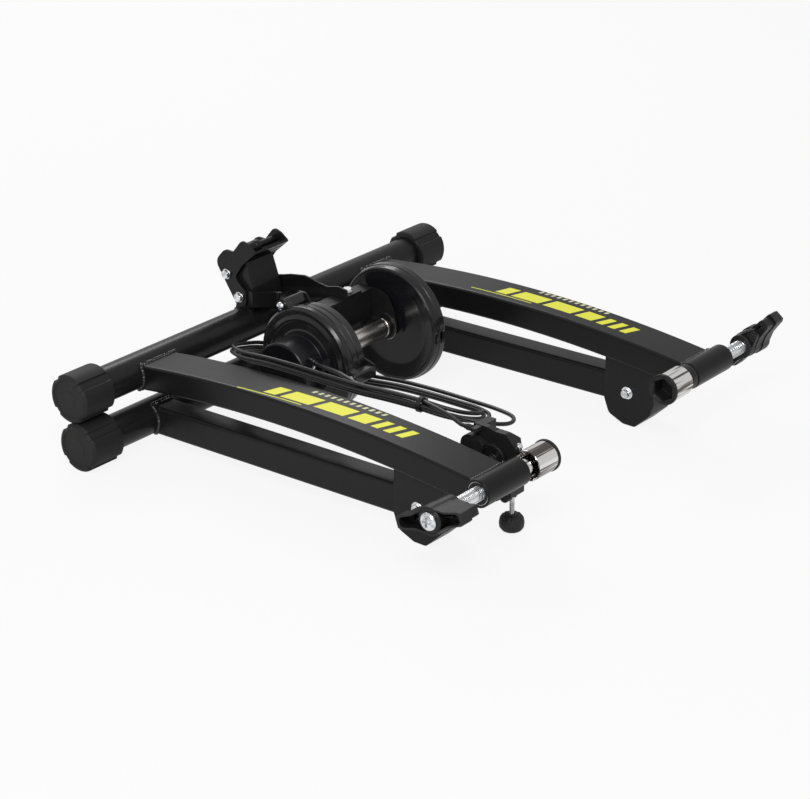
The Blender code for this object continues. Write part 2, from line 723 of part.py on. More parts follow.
def ear_round(radius, start, end, steps=6):
    return arc((SWING_Y, SWING_Z), radius, start, end, steps)


def make_bracket():
    outer = MOUNT_EAR_X
    outline = [*BRACKET_FOOT, *ear_round(EAR_RADIUS, 180, 0, 8), BRACKET_BACK]
    near = MOUNT_MIDDLE_X - outer
    far = MOUNT_MIDDLE_X + outer
    bracket = plate("unit_bracket", outline, near, near + PLATE)
    join(bracket, plate("ear", outline, far - PLATE, far))
    join(bracket, box("bridge", (near, -0.010, BRIDGE_Z), (far, 0.006, BRIDGE_Z + PLATE)))
    cut(bracket, rod("tube_cut", -THROUGH, THROUGH, TUBE_RADIUS + GAP, across(1, 0, UPPER_Z)))
    cut(bracket, hole_x(SWING_Y, SWING_Z, SWING_BOLT_RADIUS + GAP, -THROUGH, THROUGH))
    place(bracket, "unit_bracket", ORIGIN, "black_steel")


def make_bolt(name, y, z, low_x, high_x, radius, body):
    # The head is on the near side, the nut on the far one.
    profile = bolt_profile(low_x - GAP - BOLT_HEAD_HEIGHT, BOLT_HEAD_HEIGHT, BOLT_HEAD_RADIUS, high_x, radius,
                           high_x + GAP, high_x + GAP + BOLT_END)
    bolt = turned(name, profile, across(1, y, z), SMALL_ROUND)
    return place(bolt, name, body, "zinc")


def make_post(body):
    near = MOUNT_MIDDLE_X - POST_OUTER_X
    far = MOUNT_MIDDLE_X + POST_OUTER_X
    outline = [(POST_BOTTOM_Y, POST_BOTTOM_Z), (POST_TOP_Y, POST_TOP_Z), (0.001, 0.1405)]
    outline += arc((LEVER_BOLT_Y, LEVER_BOLT_Z), POST_BOLT_EAR_RADIUS, 80, -34, 5)
    outline += ear_round(POST_EAR_RADIUS, -34, -170, 7) + [(-0.0115, 0.112)]
    post = plate("unit_post", outline, near, near + PLATE)
    join(post, plate("side", outline, far - PLATE, far))
    face = [(POST_BOTTOM_Y, POST_BOTTOM_Z), (POST_TOP_Y, POST_TOP_Z),
            (POST_TOP_Y + PLATE, POST_TOP_Z - 0.0007), (POST_BOTTOM_Y + PLATE, POST_BOTTOM_Z - 0.0007)]
    join(post, plate("face", face, near + PLATE / 2, far - PLATE / 2))
    cut(post, hole_x(SWING_Y, SWING_Z, SWING_BOLT_RADIUS + GAP, -THROUGH, THROUGH))
    cut(post, hole_x(LEVER_BOLT_Y, LEVER_BOLT_Z, YOKE_BOLT_RADIUS + GAP, -THROUGH, THROUGH))
    place(post, "unit_post", body, "black_steel")


LEVER_CORNERS = (
    (0.0005, 0.0934, 0.001), (0.0304, 0.1372, 0.010), (0.0170, 0.1522, 0.009), (0.0055, 0.1518, 0.003),
    (-0.0070, 0.1672, 0.008), (-0.0165, 0.1640, 0.004), (-0.0258, 0.1572, 0.0015), (-0.0076, 0.1411, 0.002),
    (0.0042, 0.1247, 0.006), (-0.0105, 0.1120, 0.005), (-0.0110, 0.0975, 0.006),
)


def make_lever(body):
    near = MOUNT_MIDDLE_X - LEVER_OUTER_X
    far = MOUNT_MIDDLE_X + LEVER_OUTER_X
    outline = rounded(LEVER_CORNERS)
    lever = plate("foot_lever", outline, near, near + PLATE)
    join(lever, plate("side", outline, far - PLATE, far))
    web = [(-0.0250, 0.1564), (-0.0080, 0.1415), (-0.0065, 0.1432), (-0.0235, 0.1581)]
    sunk = PLATE / 2
    join(lever, plate("web", web, near + sunk, far - sunk))
    join(lever, rod("spacer", near + sunk, far - sunk, 0.0038, across(1, -0.0085, 0.1560), SMALL_ROUND))
    reach = PLATE + LEVER_GAP - GAP
    for low, high in ((near + sunk, near + reach), (far - reach, far - sunk)):
        join(lever, rod("washer", low, high, 0.0058, across(1, LEVER_BOLT_Y, LEVER_BOLT_Z), SMALL_ROUND))
    cut(lever, hole_x(SWING_Y, SWING_Z, SWING_BOLT_RADIUS + GAP, -THROUGH, THROUGH))
    cut(lever, hole_x(LEVER_BOLT_Y, LEVER_BOLT_Z, YOKE_BOLT_RADIUS + GAP, -THROUGH, THROUGH))
    place(lever, "foot_lever", body, "black_steel")
    make_bolt("lever_bolt", LEVER_BOLT_Y, LEVER_BOLT_Z, near, far, YOKE_BOLT_RADIUS, body)


def make_swing_arm(body):
    near = ARM_SIDE_NEAR_X
    far = ARM_SIDE_FAR_X
    foot_z = YOKE_TOP_Z + GAP
    wall = ear_round(EAR_RADIUS, 95, -110, 8) + [
        (-0.0392, 0.0978), (-0.0733, 0.1064), (-0.0820, foot_z), (-0.1000, foot_z), (-0.1000, 0.1205),
        (-0.0890, 0.1220), (-0.0748, 0.1184), (-0.0640, 0.1196), (-0.0507, 0.1222), (-0.0435, 0.1229),
        (-0.0238, 0.1195), (-0.0139, 0.1166)]
    arm = plate("swing_arm", wall, far - PLATE, far)
    ear = ear_round(EAR_RADIUS, 90, -90, 8) + [(-0.0168, 0.0965), (-0.0168, 0.1130)]
    join(arm, plate("ear", ear, near, near + PLATE))
    bend_x = near + 0.0164
    lip = [(near, -0.0160), (near, -0.0178), (bend_x, -0.0342), (bend_x, -0.0385), (bend_x + PLATE, -0.0385),
           (bend_x + PLATE, -0.0333), (near + PLATE, -0.0169), (near + PLATE, -0.0160)]
    join(arm, plan("lip", lip, 0.0965, 0.1125))
    tray = [(near + 0.0005, -0.0180), (bend_x + 0.0005, -0.0344), (bend_x + 0.0005, -0.0383),
            (far - 0.001, -0.0383), (far - 0.001, -0.0190), (near + 0.004, -0.0190)]
    join(arm, plan("tray", tray, 0.0985, 0.0985 + PLATE))
    join(arm, box("foot", (far - PLATE, -0.0998, foot_z), (YOKE_BOLT_X + 0.012, -0.082, foot_z + PLATE)))
    cut(arm, hole_x(SWING_Y, SWING_Z, SWING_BOLT_RADIUS + GAP, -THROUGH, THROUGH))
    bolt_hole = rod("bolt_hole", YOKE_TOP_Z - PAST, YOKE_TOP_Z + PAST, YOKE_BOLT_RADIUS + GAP,
                    upright(YOKE_BOLT_X, YOKE_BOLT_Y), SMALL_ROUND)
    cut(arm, bolt_hole)
    place(arm, "swing_arm", body, "black_steel")
    return bolt_hole


def make_yoke(body, bolt_hole):
    line = across(1, AXLE_Y, AXLE_Z)
    near = YOKE_NEAR_X
    far = YOKE_FAR_X
    back = YOKE_FRONT_Y + YOKE_DEPTH
    yoke = box("roller_yoke", (near, YOKE_FRONT_Y, 0.080), (far, YOKE_FRONT_Y + YOKE_PLATE, YOKE_TOP_Z))
    join(yoke, box("top", (near, YOKE_FRONT_Y, YOKE_TOP_Z - YOKE_PLATE), (far, back, YOKE_TOP_Z)))
    lugs = [lug_place(angle) for angle in LUG_ANGLES.values()]
    upper, lower = lugs
    near_leg = [
        (upper[0] + 0.006, upper[1] + 0.006), (upper[0] - 0.006, upper[1] + 0.006), (AXLE_Y - 0.004, 0.096),
        (lower[0] - 0.005, lower[1] + 0.007), (lower[0] - 0.005, lower[1] - 0.007),
        (AXLE_Y - 0.018, AXLE_Z - 0.018),
        (AXLE_Y + 0.018, AXLE_Z - 0.014), (back, 0.085)]
    join(yoke, plate("near_leg", near_leg, near, near + YOKE_PLATE))
    reach = BEARING_RADIUS + 0.005
    far_leg = [(back, YOKE_TOP_Z), (YOKE_FRONT_Y - 0.004, YOKE_TOP_Z), (AXLE_Y - reach, AXLE_Z + 0.006)]
    far_leg += arc((AXLE_Y, AXLE_Z), reach, 180, 360, 8) + [(back, AXLE_Z + 0.016)]
    join(yoke, plate("far_leg", far_leg, far - YOKE_PLATE, far))
    cut(yoke, rod("bearing_holes", -THROUGH, THROUGH, BEARING_RADIUS + GAP, line))
    for y, z in lugs:
        cut(yoke, hole_x(y, z, LUG_SCREW_RADIUS + GAP, -THROUGH, 0))
    cut(yoke, bolt_hole)
    place(yoke, "roller_yoke", body, "black_steel")
    top = YOKE_TOP_Z + GAP + PLATE + GAP
    under = YOKE_TOP_Z - YOKE_PLATE - GAP
    profile = bolt_profile(-top - BOLT_HEAD_HEIGHT, BOLT_HEAD_HEIGHT, BOLT_HEAD_RADIUS, -under,
                           YOKE_BOLT_RADIUS, -under, -under + BOLT_END)
    down = Matrix.Translation((YOKE_BOLT_X, YOKE_BOLT_Y, 0)) @ Matrix.Rotation(math.pi, 4, "X")
    place(turned("yoke_bolt", profile, down, SMALL_ROUND), "yoke_bolt", body, "zinc")


def lug_place(angle):
    turn = math.radians(angle)
    return AXLE_Y + LUG_REACH * math.cos(turn), AXLE_Z + LUG_REACH * math.sin(turn)


# Resistance unit

def make_drum(body):
    line = across(1, AXLE_Y, AXLE_Z)
    face = DRUM_FACE_X
    hole = SPINDLE_RADIUS + GAP
    drum = turned("magnet_housing", [
        (DRUM_BACK_X, DRUM_BACK_RADIUS), (face + 0.008, DRUM_FRONT_RADIUS), (face + 0.002, DRUM_FRONT_RADIUS),
        (face, DRUM_FRONT_RADIUS - 0.002), (face, hole), (face + DRUM_WALL, hole),
        (face + DRUM_WALL, DRUM_FRONT_RADIUS - DRUM_WALL), (face + 0.008, DRUM_FRONT_RADIUS - DRUM_WALL),
        (DRUM_BACK_X, DRUM_BACK_RADIUS - DRUM_WALL)], line, DRUM_ROUND)
    for label, angle in LUG_ANGLES.items():
        y, z = lug_place(angle)
        join(drum, rod("lug", face + GAP, DRUM_BACK_X - GAP, LUG_RADIUS, across(1, y, z), LUG_ROUND))
        screw = turned("housing_screw", [
            (YOKE_NEAR_X + YOKE_PLATE, 0), (YOKE_NEAR_X + YOKE_PLATE, LUG_SCREW_RADIUS),
            (face - GAP, LUG_SCREW_RADIUS), (face - GAP, LUG_HEAD_RADIUS),
            (face - LUG_HEAD_HEIGHT * 0.6, LUG_HEAD_RADIUS),
            (face - GAP - LUG_HEAD_HEIGHT, LUG_HEAD_RADIUS * 0.6),
            (face - GAP - LUG_HEAD_HEIGHT, 0)], across(1, y, z), SMALL_ROUND)
        place(screw, "housing_screw_" + label, body, "zinc")
    for angle in LUG_ANGLES.values():
        y, z = lug_place(angle)
        cut(drum, hole_x(y, z, LUG_SCREW_RADIUS + GAP, -THROUGH, 0))
    place(drum, "magnet_housing", body, "gloss_plastic")
    end = face - GAP
    boss = turned("cable_boss", [
        (BOSS_FACE_X + BOSS_WALL, 0), (BOSS_FACE_X + BOSS_WALL, BOSS_RADIUS - BOSS_WALL),
        (end, BOSS_RADIUS - BOSS_WALL), (end, BOSS_RADIUS), (BOSS_FACE_X + 0.0025, BOSS_RADIUS),
        (BOSS_FACE_X, BOSS_RADIUS - 0.0025), (BOSS_FACE_X, 0)], line)
    gland = rod_between("gland", GLAND_START, GLAND_END, GLAND_RADIUS, SMALL_ROUND)
    join(gland, box("gland_block", *GLAND_BLOCK))
    cut(gland, rod("boss_room", -THROUGH, 0, BOSS_RADIUS - BOSS_WALL / 2, line))
    join(boss, gland)
    place(boss, "cable_boss", body, "gloss_plastic")


def make_rotor(unit_body, spin_body, carrier_body):
    line = across(1, AXLE_Y, AXLE_Z)
    bore = SHAFT_RADIUS + GAP
    pulley = BOSS_FACE_X + BOSS_WALL + PULLEY_BACK
    carrier = turned("magnet_carrier", [
        (CARRIER_X + CARRIER_THICKNESS, 0), (CARRIER_X + CARRIER_THICKNESS, CARRIER_RADIUS),
        (CARRIER_X, CARRIER_RADIUS), (CARRIER_X, SPINDLE_RADIUS), (pulley + PULLEY_WIDTH, SPINDLE_RADIUS),
        (pulley + PULLEY_WIDTH, PULLEY_RADIUS), (pulley, PULLEY_RADIUS), (pulley, 0)], line)
    place(carrier, "magnet_carrier", carrier_body, "black_plastic")
    disc_end = DISC_X + DISC_THICKNESS
    disc = turned("conductor_disc", [
        (disc_end + HUB_LENGTH, HUB_RADIUS), (disc_end, HUB_RADIUS), (disc_end, DISC_RADIUS),
        (DISC_X, DISC_RADIUS), (DISC_X, bore), (disc_end + HUB_LENGTH, bore)], line)
    place(disc, "conductor_disc", spin_body, "aluminium")
    web_end = FLYWHEEL_WEB_X + FLYWHEEL_WEB
    nut_end = web_end + GAP + NUT_HEIGHT
    roller = turned("roller", [
        (nut_end + 0.001, 0), (nut_end + 0.001, SHAFT_RADIUS), (ROLLER_FAR_X, SHAFT_RADIUS),
        (ROLLER_FAR_X, ROLLER_RADIUS), (ROLLER_NEAR_X, ROLLER_RADIUS), (ROLLER_NEAR_X, SHAFT_RADIUS),
        (DISC_X - 0.002, SHAFT_RADIUS), (DISC_X - 0.002, 0)], line)
    place(roller, "roller", spin_body, "chrome")
    wheel = turned("flywheel", [
        (FLYWHEEL_BACK_X, FLYWHEEL_BACK_RADIUS), (FLYWHEEL_FRONT_X + 0.001, FLYWHEEL_FRONT_RADIUS),
        (FLYWHEEL_FRONT_X, FLYWHEEL_FRONT_RADIUS - 0.001),
        (FLYWHEEL_FRONT_X, FLYWHEEL_FRONT_RADIUS - FLYWHEEL_RIM),
        (FLYWHEEL_WEB_X, FLYWHEEL_FRONT_RADIUS - FLYWHEEL_RIM - 0.003), (FLYWHEEL_WEB_X, bore),
        (web_end, bore),
        (web_end, FLYWHEEL_BACK_RADIUS - FLYWHEEL_RIM - 0.003),
        (FLYWHEEL_BACK_X, FLYWHEEL_BACK_RADIUS - FLYWHEEL_RIM)], line, DRUM_ROUND)
    place(wheel, "flywheel", spin_body, "gloss_plastic")
    nut = rod("flywheel_nut", web_end + GAP, nut_end, NUT_RADIUS, line, 6)
    cut(nut, rod("nut_bore", web_end - PAST, nut_end + PAST, bore, line))
    place(nut, "flywheel_nut", spin_body, "zinc")
    lip = BEARING_RADIUS + BEARING_LIP
    near = YOKE_NEAR_X
    near_seat = near + YOKE_PLATE + GAP
    near_bearing = turned("bearing", [
        (ROLLER_NEAR_X - BEARING_GAP, lip), (near_seat, lip), (near_seat, BEARING_RADIUS),
        (near - BEARING_LIP, BEARING_RADIUS), (near - BEARING_LIP, bore),
        (ROLLER_NEAR_X - BEARING_GAP, bore)], line)
    place(near_bearing, "bearing_near", unit_body, "zinc")
    far_seat = YOKE_FAR_X - YOKE_PLATE - GAP
    far_bearing = turned("bearing", [
        (YOKE_FAR_X + BEARING_LIP, BEARING_RADIUS), (far_seat, BEARING_RADIUS), (far_seat, lip),
        (ROLLER_FAR_X + BEARING_GAP, lip), (ROLLER_FAR_X + BEARING_GAP, bore),
        (YOKE_FAR_X + BEARING_LIP, bore)], line)
    place(far_bearing, "bearing_far", unit_body, "zinc")


# Remote

def make_remote(lever_body, jaw_body, screw_body):
    near = REMOTE_X
    far = REMOTE_X + REMOTE_WIDTH
    screw_line = upright((near + far) / 2, CLAMP_SCREW_Y)
    outline = rounded([
        (-0.3680, 0.0970, 0), (-0.3680, 0.1015, 0.003), (-0.4120, 0.1015, 0.006),
        (REMOTE_BACK_Y, 0.0930, 0.003), (REMOTE_BACK_Y, 0.0640, 0.003), (-0.4130, BAR_Z, 0)], 3)
    outline += arc((BAR_Y, BAR_Z), BAR_RADIUS, 180, 0, 10)
    outline += [(BAR_Y + BAR_LEG, BAR_Z), (BAR_Y + BAR_LEG, 0.062), (-0.3800, 0.0700), (-0.3800, 0.0965)]
    body = plate("remote_body", outline, near, far)
    join(body, box("cable_lug", (near - 0.0095, -0.3780, 0.0972), (near + 0.004, -0.3723, 0.1010)))
    screw_hole = CLAMP_SCREW_RADIUS + GAP
    cut(body, rod("screw_room", BAR_Z - PAST, BAR_Z + 0.018, screw_hole, screw_line, SMALL_ROUND))
    pivot_hole = REMOTE_SCREW_RADIUS + GAP
    cut(body, hole_x(REMOTE_DRUM_Y, REMOTE_DRUM_Z, pivot_hole, near - PAST, far + PAST))
    place(body, "remote_body", ORIGIN, "black_plastic")

    front = near - GAP
    lever = rod("remote_lever", front - REMOTE_LEVER_THICKNESS, front, REMOTE_DRUM_RADIUS,
                across(1, REMOTE_DRUM_Y, REMOTE_DRUM_Z))
    finger = rounded([(-0.3590, 0.0775, 0.002), (-0.3590, 0.0945, 0.003), (-0.3780, 0.0950, 0.003),
                      (-0.3900, 0.0860, 0), (-0.3800, 0.0680, 0)], 2)
    join(lever, plate("finger", finger, front - REMOTE_LEVER_THICKNESS - REMOTE_FINGER, front))
    cut(lever, hole_x(REMOTE_DRUM_Y, REMOTE_DRUM_Z, pivot_hole, near - 2 * PAST, far))
    place(lever, "remote_lever", lever_body, "black_plastic")
    head = front - REMOTE_LEVER_THICKNESS - GAP
    profile = bolt_profile(head - 0.002, 0.002, LUG_HEAD_RADIUS, far, REMOTE_SCREW_RADIUS,
                           far + GAP, far + 0.006)
    screw = turned("remote_pivot_screw", profile, across(1, REMOTE_DRUM_Y, REMOTE_DRUM_Z), SMALL_ROUND)
    place(screw, "remote_pivot_screw", ORIGIN, "zinc")

    jaw_z = BAR_Z - JAW_DROP
    jaw = [(JAW_FRONT_Y, jaw_z - 0.006), (JAW_FRONT_Y, jaw_z - GAP)]
    jaw += arc((BAR_Y, jaw_z - GAP), BAR_RADIUS, 180, 355, 10)
    jaw += arc((BAR_Y, jaw_z - GAP), BAR_RADIUS + JAW_WALL, 355, 215, 8)
    clamp = plate("remote_clamp", jaw, near, far)
    cut(clamp, rod("screw_room", jaw_z - 3 * PAST, jaw_z + PAST, screw_hole, screw_line, SMALL_ROUND))
    place(clamp, "remote_clamp", jaw_body, "black_plastic")
    knob_top = KNOB_BOTTOM_Z + KNOB_HEIGHT
    screw = rod("remote_clamp_screw", knob_top - KNOB_THREAD, BAR_Z + 0.009, CLAMP_SCREW_RADIUS, screw_line,
                SMALL_ROUND)
    place(screw, "remote_clamp_screw", screw_body, "zinc")
    knob = turned("remote_clamp_knob", [
        (knob_top - KNOB_THREAD - GAP, 0), (knob_top - KNOB_THREAD - GAP, CLAMP_SCREW_RADIUS + GAP),
        (knob_top, CLAMP_SCREW_RADIUS + GAP), (knob_top, KNOB_RADIUS - 0.0015), (knob_top - 0.002, KNOB_RADIUS),
        (KNOB_BOTTOM_Z + 0.005, KNOB_RADIUS), (KNOB_BOTTOM_Z + 0.0015, KNOB_RADIUS - 0.0025),
        (KNOB_BOTTOM_Z, 0.004), (KNOB_BOTTOM_Z, 0)], screw_line)
    place(knob, "remote_clamp_knob", screw_body, "black_plastic")
    adjuster = rod_between("cable_adjuster", ADJUSTER_START, ADJUSTER_END, ADJUSTER_RADIUS, SMALL_ROUND)
    place(adjuster, "cable_adjuster", ORIGIN, "black_plastic")


# Cable, through points chosen by hand

HANK_ROUTE = (
    (-0.122, -0.236, 0.0995), (-0.116, -0.268, 0.0990), (-0.111, -0.301, 0.0980), (-0.105, -0.322, 0.0950),
    (-0.094, -0.338, 0.0910), (-0.077, -0.346, 0.0870), (-0.061, -0.339, 0.0840), (-0.052, -0.322, 0.0810),
    (-0.048, -0.298, 0.0785), (-0.042, -0.258, 0.0740), (-0.032, -0.209, 0.0655), (-0.0245, -0.160, 0.0555),
    (-0.021, -0.117, 0.0490), (-0.018, -0.088, 0.0500), (-0.027, -0.062, 0.0580), (-0.048, -0.046, 0.0670),
    (-0.072, -0.045, 0.0740), (-0.096, -0.055, 0.0830), (-0.116, -0.075, 0.0920), (-0.130, -0.102, 0.0990),
    (-0.1335, -0.134, 0.1035), (-0.132, -0.170, 0.1040), (-0.128, -0.204, 0.1020),
)
FOLD_SHARE = (0, 0, 0, 0.1, 0.65, 1, 1, 0.75, 0.25) + (0,) * 14
UNIT_LEAD_ROUTE = ((-0.0975, -0.1720, 0.0950), (-0.1085, -0.2000, 0.1005))
REMOTE_LEAD_ROUTE = ((-0.1180, -0.3350, 0.1020),)


def smooth_point(points, place_along):
    # A point on the smooth curve through the given points.
    index = min(int(place_along), len(points) - 4)
    t = place_along - index
    a, b, c, d = points[index:index + 4]
    return 0.5 * (2 * b + (c - a) * t + (2 * a - 5 * b + 4 * c - d) * t ** 2 + (3 * b - a - 3 * c + d) * t ** 3)


def smooth_route(points, steps):
    # Samples between the second point and the last but one.
    spans = len(points) - 3
    return [smooth_point(points, spans * index / steps) for index in range(steps + 1)]


def hank_points():
    # The strand goes round the route again and again, a step further round the bundle each time.
    count = len(HANK_ROUTE)
    radius = STRAND_PITCH / (2 * math.sin(math.pi / (HANK_LOOPS + 1)))
    total = HANK_LOOPS * count + HANK_END_INDEX
    middle = []
    for index in range(-2, total + 3):
        x, y, z = HANK_ROUTE[index % count]
        if index // count == HANK_LOOPS - 1:
            y -= LONG_LOOP * FOLD_SHARE[index % count]
        middle.append(Vector((x, y, z)))
    route = smooth_route(middle, (len(middle) - 3) * SAMPLES)
    points = []
    for index, here in enumerate(route):
        before = route[max(index - 1, 0)]
        after = route[min(index + 1, len(route) - 1)]
        along = (after - before).normalized()
        aside = along.cross(Vector((0, 0, 1))).normalized()
        above = aside.cross(along)
        turn = 2 * math.pi / (HANK_LOOPS + 1) * (index / SAMPLES - 1) / count + math.radians(HANK_TURN)
        points.append(here + aside * radius * math.cos(turn) + above * radius * math.sin(turn))
    return points[SAMPLES:-SAMPLES]


def tube_through(name, points, resolution, material, body):
    curve = bpy.data.curves.new(name, "CURVE")
    curve.dimensions = "3D"
    curve.bevel_depth = CABLE_RADIUS
    curve.bevel_resolution = resolution
    curve.use_fill_caps = True
    spline = curve.splines.new("POLY")
    spline.points.add(len(points) - 1)
    for point, value in zip(spline.points, points):
        point.co = (*value, 1)
    item = baked(link(bpy.data.objects.new(name, curve)))
    return place(item, name, body, material)


def least_gap(points):
    # The tube's least gap to itself, leaving out neighbours along it.
    least = 1.0
    for index in range(len(points) - NEIGHBOURS - 1):
        for other in range(index + NEIGHBOURS, len(points) - 1):
            nearest = segment_gap(points[index], points[index + 1], points[other], points[other + 1])
            least = min(least, nearest)
    return least - 2 * CABLE_RADIUS


def segment_gap(a, b, c, d):
    # Distance between two short straight runs.
    best = min((geometry.intersect_point_line(p, q, r)[0] - p).length
               if 0 <= geometry.intersect_point_line(p, q, r)[1] <= 1
               else min((p - q).length, (p - r).length)
               for p, q, r in ((a, c, d), (b, c, d), (c, a, b), (d, a, b)))
    crossing = geometry.intersect_line_line(a, b, c, d)
    if crossing:
        one, two = crossing
        inside_one = 0 <= (one - a).dot(b - a) <= (b - a).length_squared
        inside_two = 0 <= (two - c).dot(d - c) <= (d - c).length_squared
        if inside_one and inside_two:
            best = min(best, (one - two).length)
    return best


def lead_points(start, start_way, middle, end, end_way, steps):
    # A free lead that leaves one end and meets the other straight on.
    run = 2 * CABLE_RADIUS
    points = [start, start + start_way * run]
    points += [Vector(point) for point in middle]
    points += [end - end_way * run, end]
    return [start] + smooth_route(points, steps) + [end]


def make_cable():
    hank = hank_points()
    print("hank: least gap to itself %.2f mm" % (1000 * least_gap(hank)))
    length = sum((b - a).length for a, b in zip(hank, hank[1:]))
    tube_through("cable_hank", hank, 1, "cable_black", ORIGIN)
    gland_end = Vector(GLAND_END)
    gland_way = (gland_end - Vector(GLAND_START)).normalized()
    hank_way = (hank[1] - hank[0]).normalized()
    unit = lead_points(gland_end + gland_way * GAP, gland_way, UNIT_LEAD_ROUTE,
                       hank[0] - hank_way * GAP, hank_way, 18)
    tube_through("cable_lead_unit", unit, 2, "cable_black", ORIGIN)
    leaving = (hank[-1] - hank[-2]).normalized()
    adjuster_end = Vector(ADJUSTER_END)
    arriving = (Vector(ADJUSTER_START) - adjuster_end).normalized()
    remote = lead_points(hank[-1] + leaving * GAP, leaving, REMOTE_LEAD_ROUTE,
                         adjuster_end - arriving * GAP, arriving, 14)
    tube_through("cable_lead_remote", remote, 2, "cable_black", ORIGIN)
    for lead in (unit, remote):
        length += sum((b - a).length for a, b in zip(lead, lead[1:]))
    print("cable: %.2f m" % length)
    make_tie()


def make_tie():
    start, middle, end = (Vector(HANK_ROUTE[index]) for index in (1, 2, 3))
    bundle = STRAND_PITCH / (2 * math.sin(math.pi / (HANK_LOOPS + 1))) + CABLE_RADIUS
    inner = bundle + GAP
    outer = inner + TIE_WALL
    turn = (end - start).to_track_quat("Z", "Y").to_matrix().to_4x4()
    matrix = Matrix.Translation(middle) @ turn
    tie = ring("cable_tie", -TIE_LENGTH / 2, TIE_LENGTH / 2, outer, inner, matrix, TIE_ROUND)
    corner = Vector((TIE_HEAD, TIE_HEAD, TIE_LENGTH)) / 2
    head = box("tie_head", -corner, corner)
    head.matrix_basis = matrix @ Matrix.Translation((outer + TIE_WALL, 0, 0))
    join(tie, head)
    place(tie, "cable_tie", ORIGIN, "black_plastic")


# Assembly

LOWER = new_pivot("lower_frame_pivot", 0, PIVOT_Y, PIVOT_Z, ORIGIN)
UNIT = new_pivot("unit_pivot", 0, SWING_Y, SWING_Z, ORIGIN)
SPIN = new_pivot("roller_axis", 0, AXLE_Y, AXLE_Z, ORIGIN)
CARRIER = new_pivot("carrier_axis", 0, AXLE_Y, AXLE_Z, ORIGIN)
REMOTE_LEVER = new_pivot("remote_lever_axis", REMOTE_X, REMOTE_DRUM_Y, REMOTE_DRUM_Z, ORIGIN)
REMOTE_JAW = new_pivot("remote_jaw_line", REMOTE_X + REMOTE_WIDTH / 2, CLAMP_SCREW_Y, 0, ORIGIN)
REMOTE_SCREW = new_pivot("remote_screw_line", REMOTE_X + REMOTE_WIDTH / 2, CLAMP_SCREW_Y, 0, ORIGIN)

make_tube("upper_cross_tube", 0, UPPER_Z, ORIGIN)
make_tube("lower_cross_tube", LOWER_Y, LOWER_Z, LOWER)
for label, side in SIDES.items():
    make_upper_arm(label, side)
    make_sleeve(label, side)
    make_gusset(label, side)
    make_lower_arm(label, side, LOWER)
    make_cap("end_cap_upper_" + label, side, 0, UPPER_Z, ORIGIN)
    make_cap("end_cap_lower_" + label, side, LOWER_Y, LOWER_Z, LOWER)
    slide = new_pivot("clamp_slide_" + label, 0, SLEEVE_Y, SLEEVE_Z, ORIGIN)
    turn = new_pivot("clamp_turn_" + label, 0, SLEEVE_Y, SLEEVE_Z, ORIGIN)
    make_clamp(label, side, slide, turn)

lock = ring("axle_lock_ring_far", CUP_BACK_X + LOCK_RING_BACK, SLEEVE_INNER_X - GAP, LOCK_RING_RADIUS,
            NECK_RADIUS + GAP, across(1, SLEEVE_Y, SLEEVE_Z))
place(lock, "axle_lock_ring_far", ORIGIN, "black_plastic")

make_bracket()
make_bolt("swing_bolt", SWING_Y, SWING_Z, MOUNT_MIDDLE_X - LEVER_OUTER_X, ARM_SIDE_FAR_X,
          SWING_BOLT_RADIUS, ORIGIN)
make_post(UNIT)
make_lever(UNIT)
make_yoke(UNIT, make_swing_arm(UNIT))
make_drum(UNIT)
make_rotor(UNIT, SPIN, CARRIER)
make_remote(REMOTE_LEVER, REMOTE_JAW, REMOTE_SCREW)
make_cable()
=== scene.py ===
import bmesh
import bpy
from math import cos, degrees, pi, radians, sin, sqrt, tan
from mathutils import Matrix, Vector, noise


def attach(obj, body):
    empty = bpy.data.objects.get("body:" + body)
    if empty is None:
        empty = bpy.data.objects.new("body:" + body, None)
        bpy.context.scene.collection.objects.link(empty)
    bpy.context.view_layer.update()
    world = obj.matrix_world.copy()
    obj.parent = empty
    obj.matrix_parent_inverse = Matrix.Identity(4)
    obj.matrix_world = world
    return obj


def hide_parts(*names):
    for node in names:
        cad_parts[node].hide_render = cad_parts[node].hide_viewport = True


# A folding bicycle trainer, folded flat on the floor. Sizes are in millimetres from the floor point
# under the middle of the upper cross tube: x along the tubes, y towards the rear, z up.
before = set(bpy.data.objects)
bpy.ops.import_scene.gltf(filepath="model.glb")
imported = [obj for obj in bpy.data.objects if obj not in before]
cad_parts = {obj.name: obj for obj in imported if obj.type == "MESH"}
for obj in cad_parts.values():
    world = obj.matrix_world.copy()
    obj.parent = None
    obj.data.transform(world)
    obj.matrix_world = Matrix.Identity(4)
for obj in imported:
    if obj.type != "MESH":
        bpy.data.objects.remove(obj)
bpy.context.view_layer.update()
tubeY = 0.2240                     # the upper cross tube's place in the frame, in metres
sides = (("near", "Near", -1), ("far", "Far", 1))


def at(x, y, z):
    return Vector((x / 1000, y / 1000 + tubeY, z / 1000))


# Surfaces. marks holds what every finish shares: noise scales per metre, and where and how sharply
# edges and the painted reflection streaks begin.

marks = dict(smear=22.0, smearRough=0.6, patches=160.0, edgeFrom=0.52, edgeGain=14.0, wideGrain=0.22,
             stretch=(0.035, 1.0, 1.0), reflectionStreaks=210.0, reflectionStreakFrom=0.485, reflectionStreakGain=16.0,
             reflectionStreakColour=(0.07, 0.055, 0.045, 1), bumpHeight=0.0006, coatRough=0.06)


def fill(tree, node, inputs):
    # Each input is given a value or linked to another node's output.
    for socket, value in inputs.items():
        if isinstance(value, bpy.types.NodeSocket):
            tree.links.new(value, node.inputs[socket])
        else:
            node.inputs[socket].default_value = value
    return node


def add(tree, kind, inputs=None, **settings):
    node = tree.nodes.new(kind)
    for key, value in settings.items():
        setattr(node, key, value)
    return fill(tree, node, inputs or {})


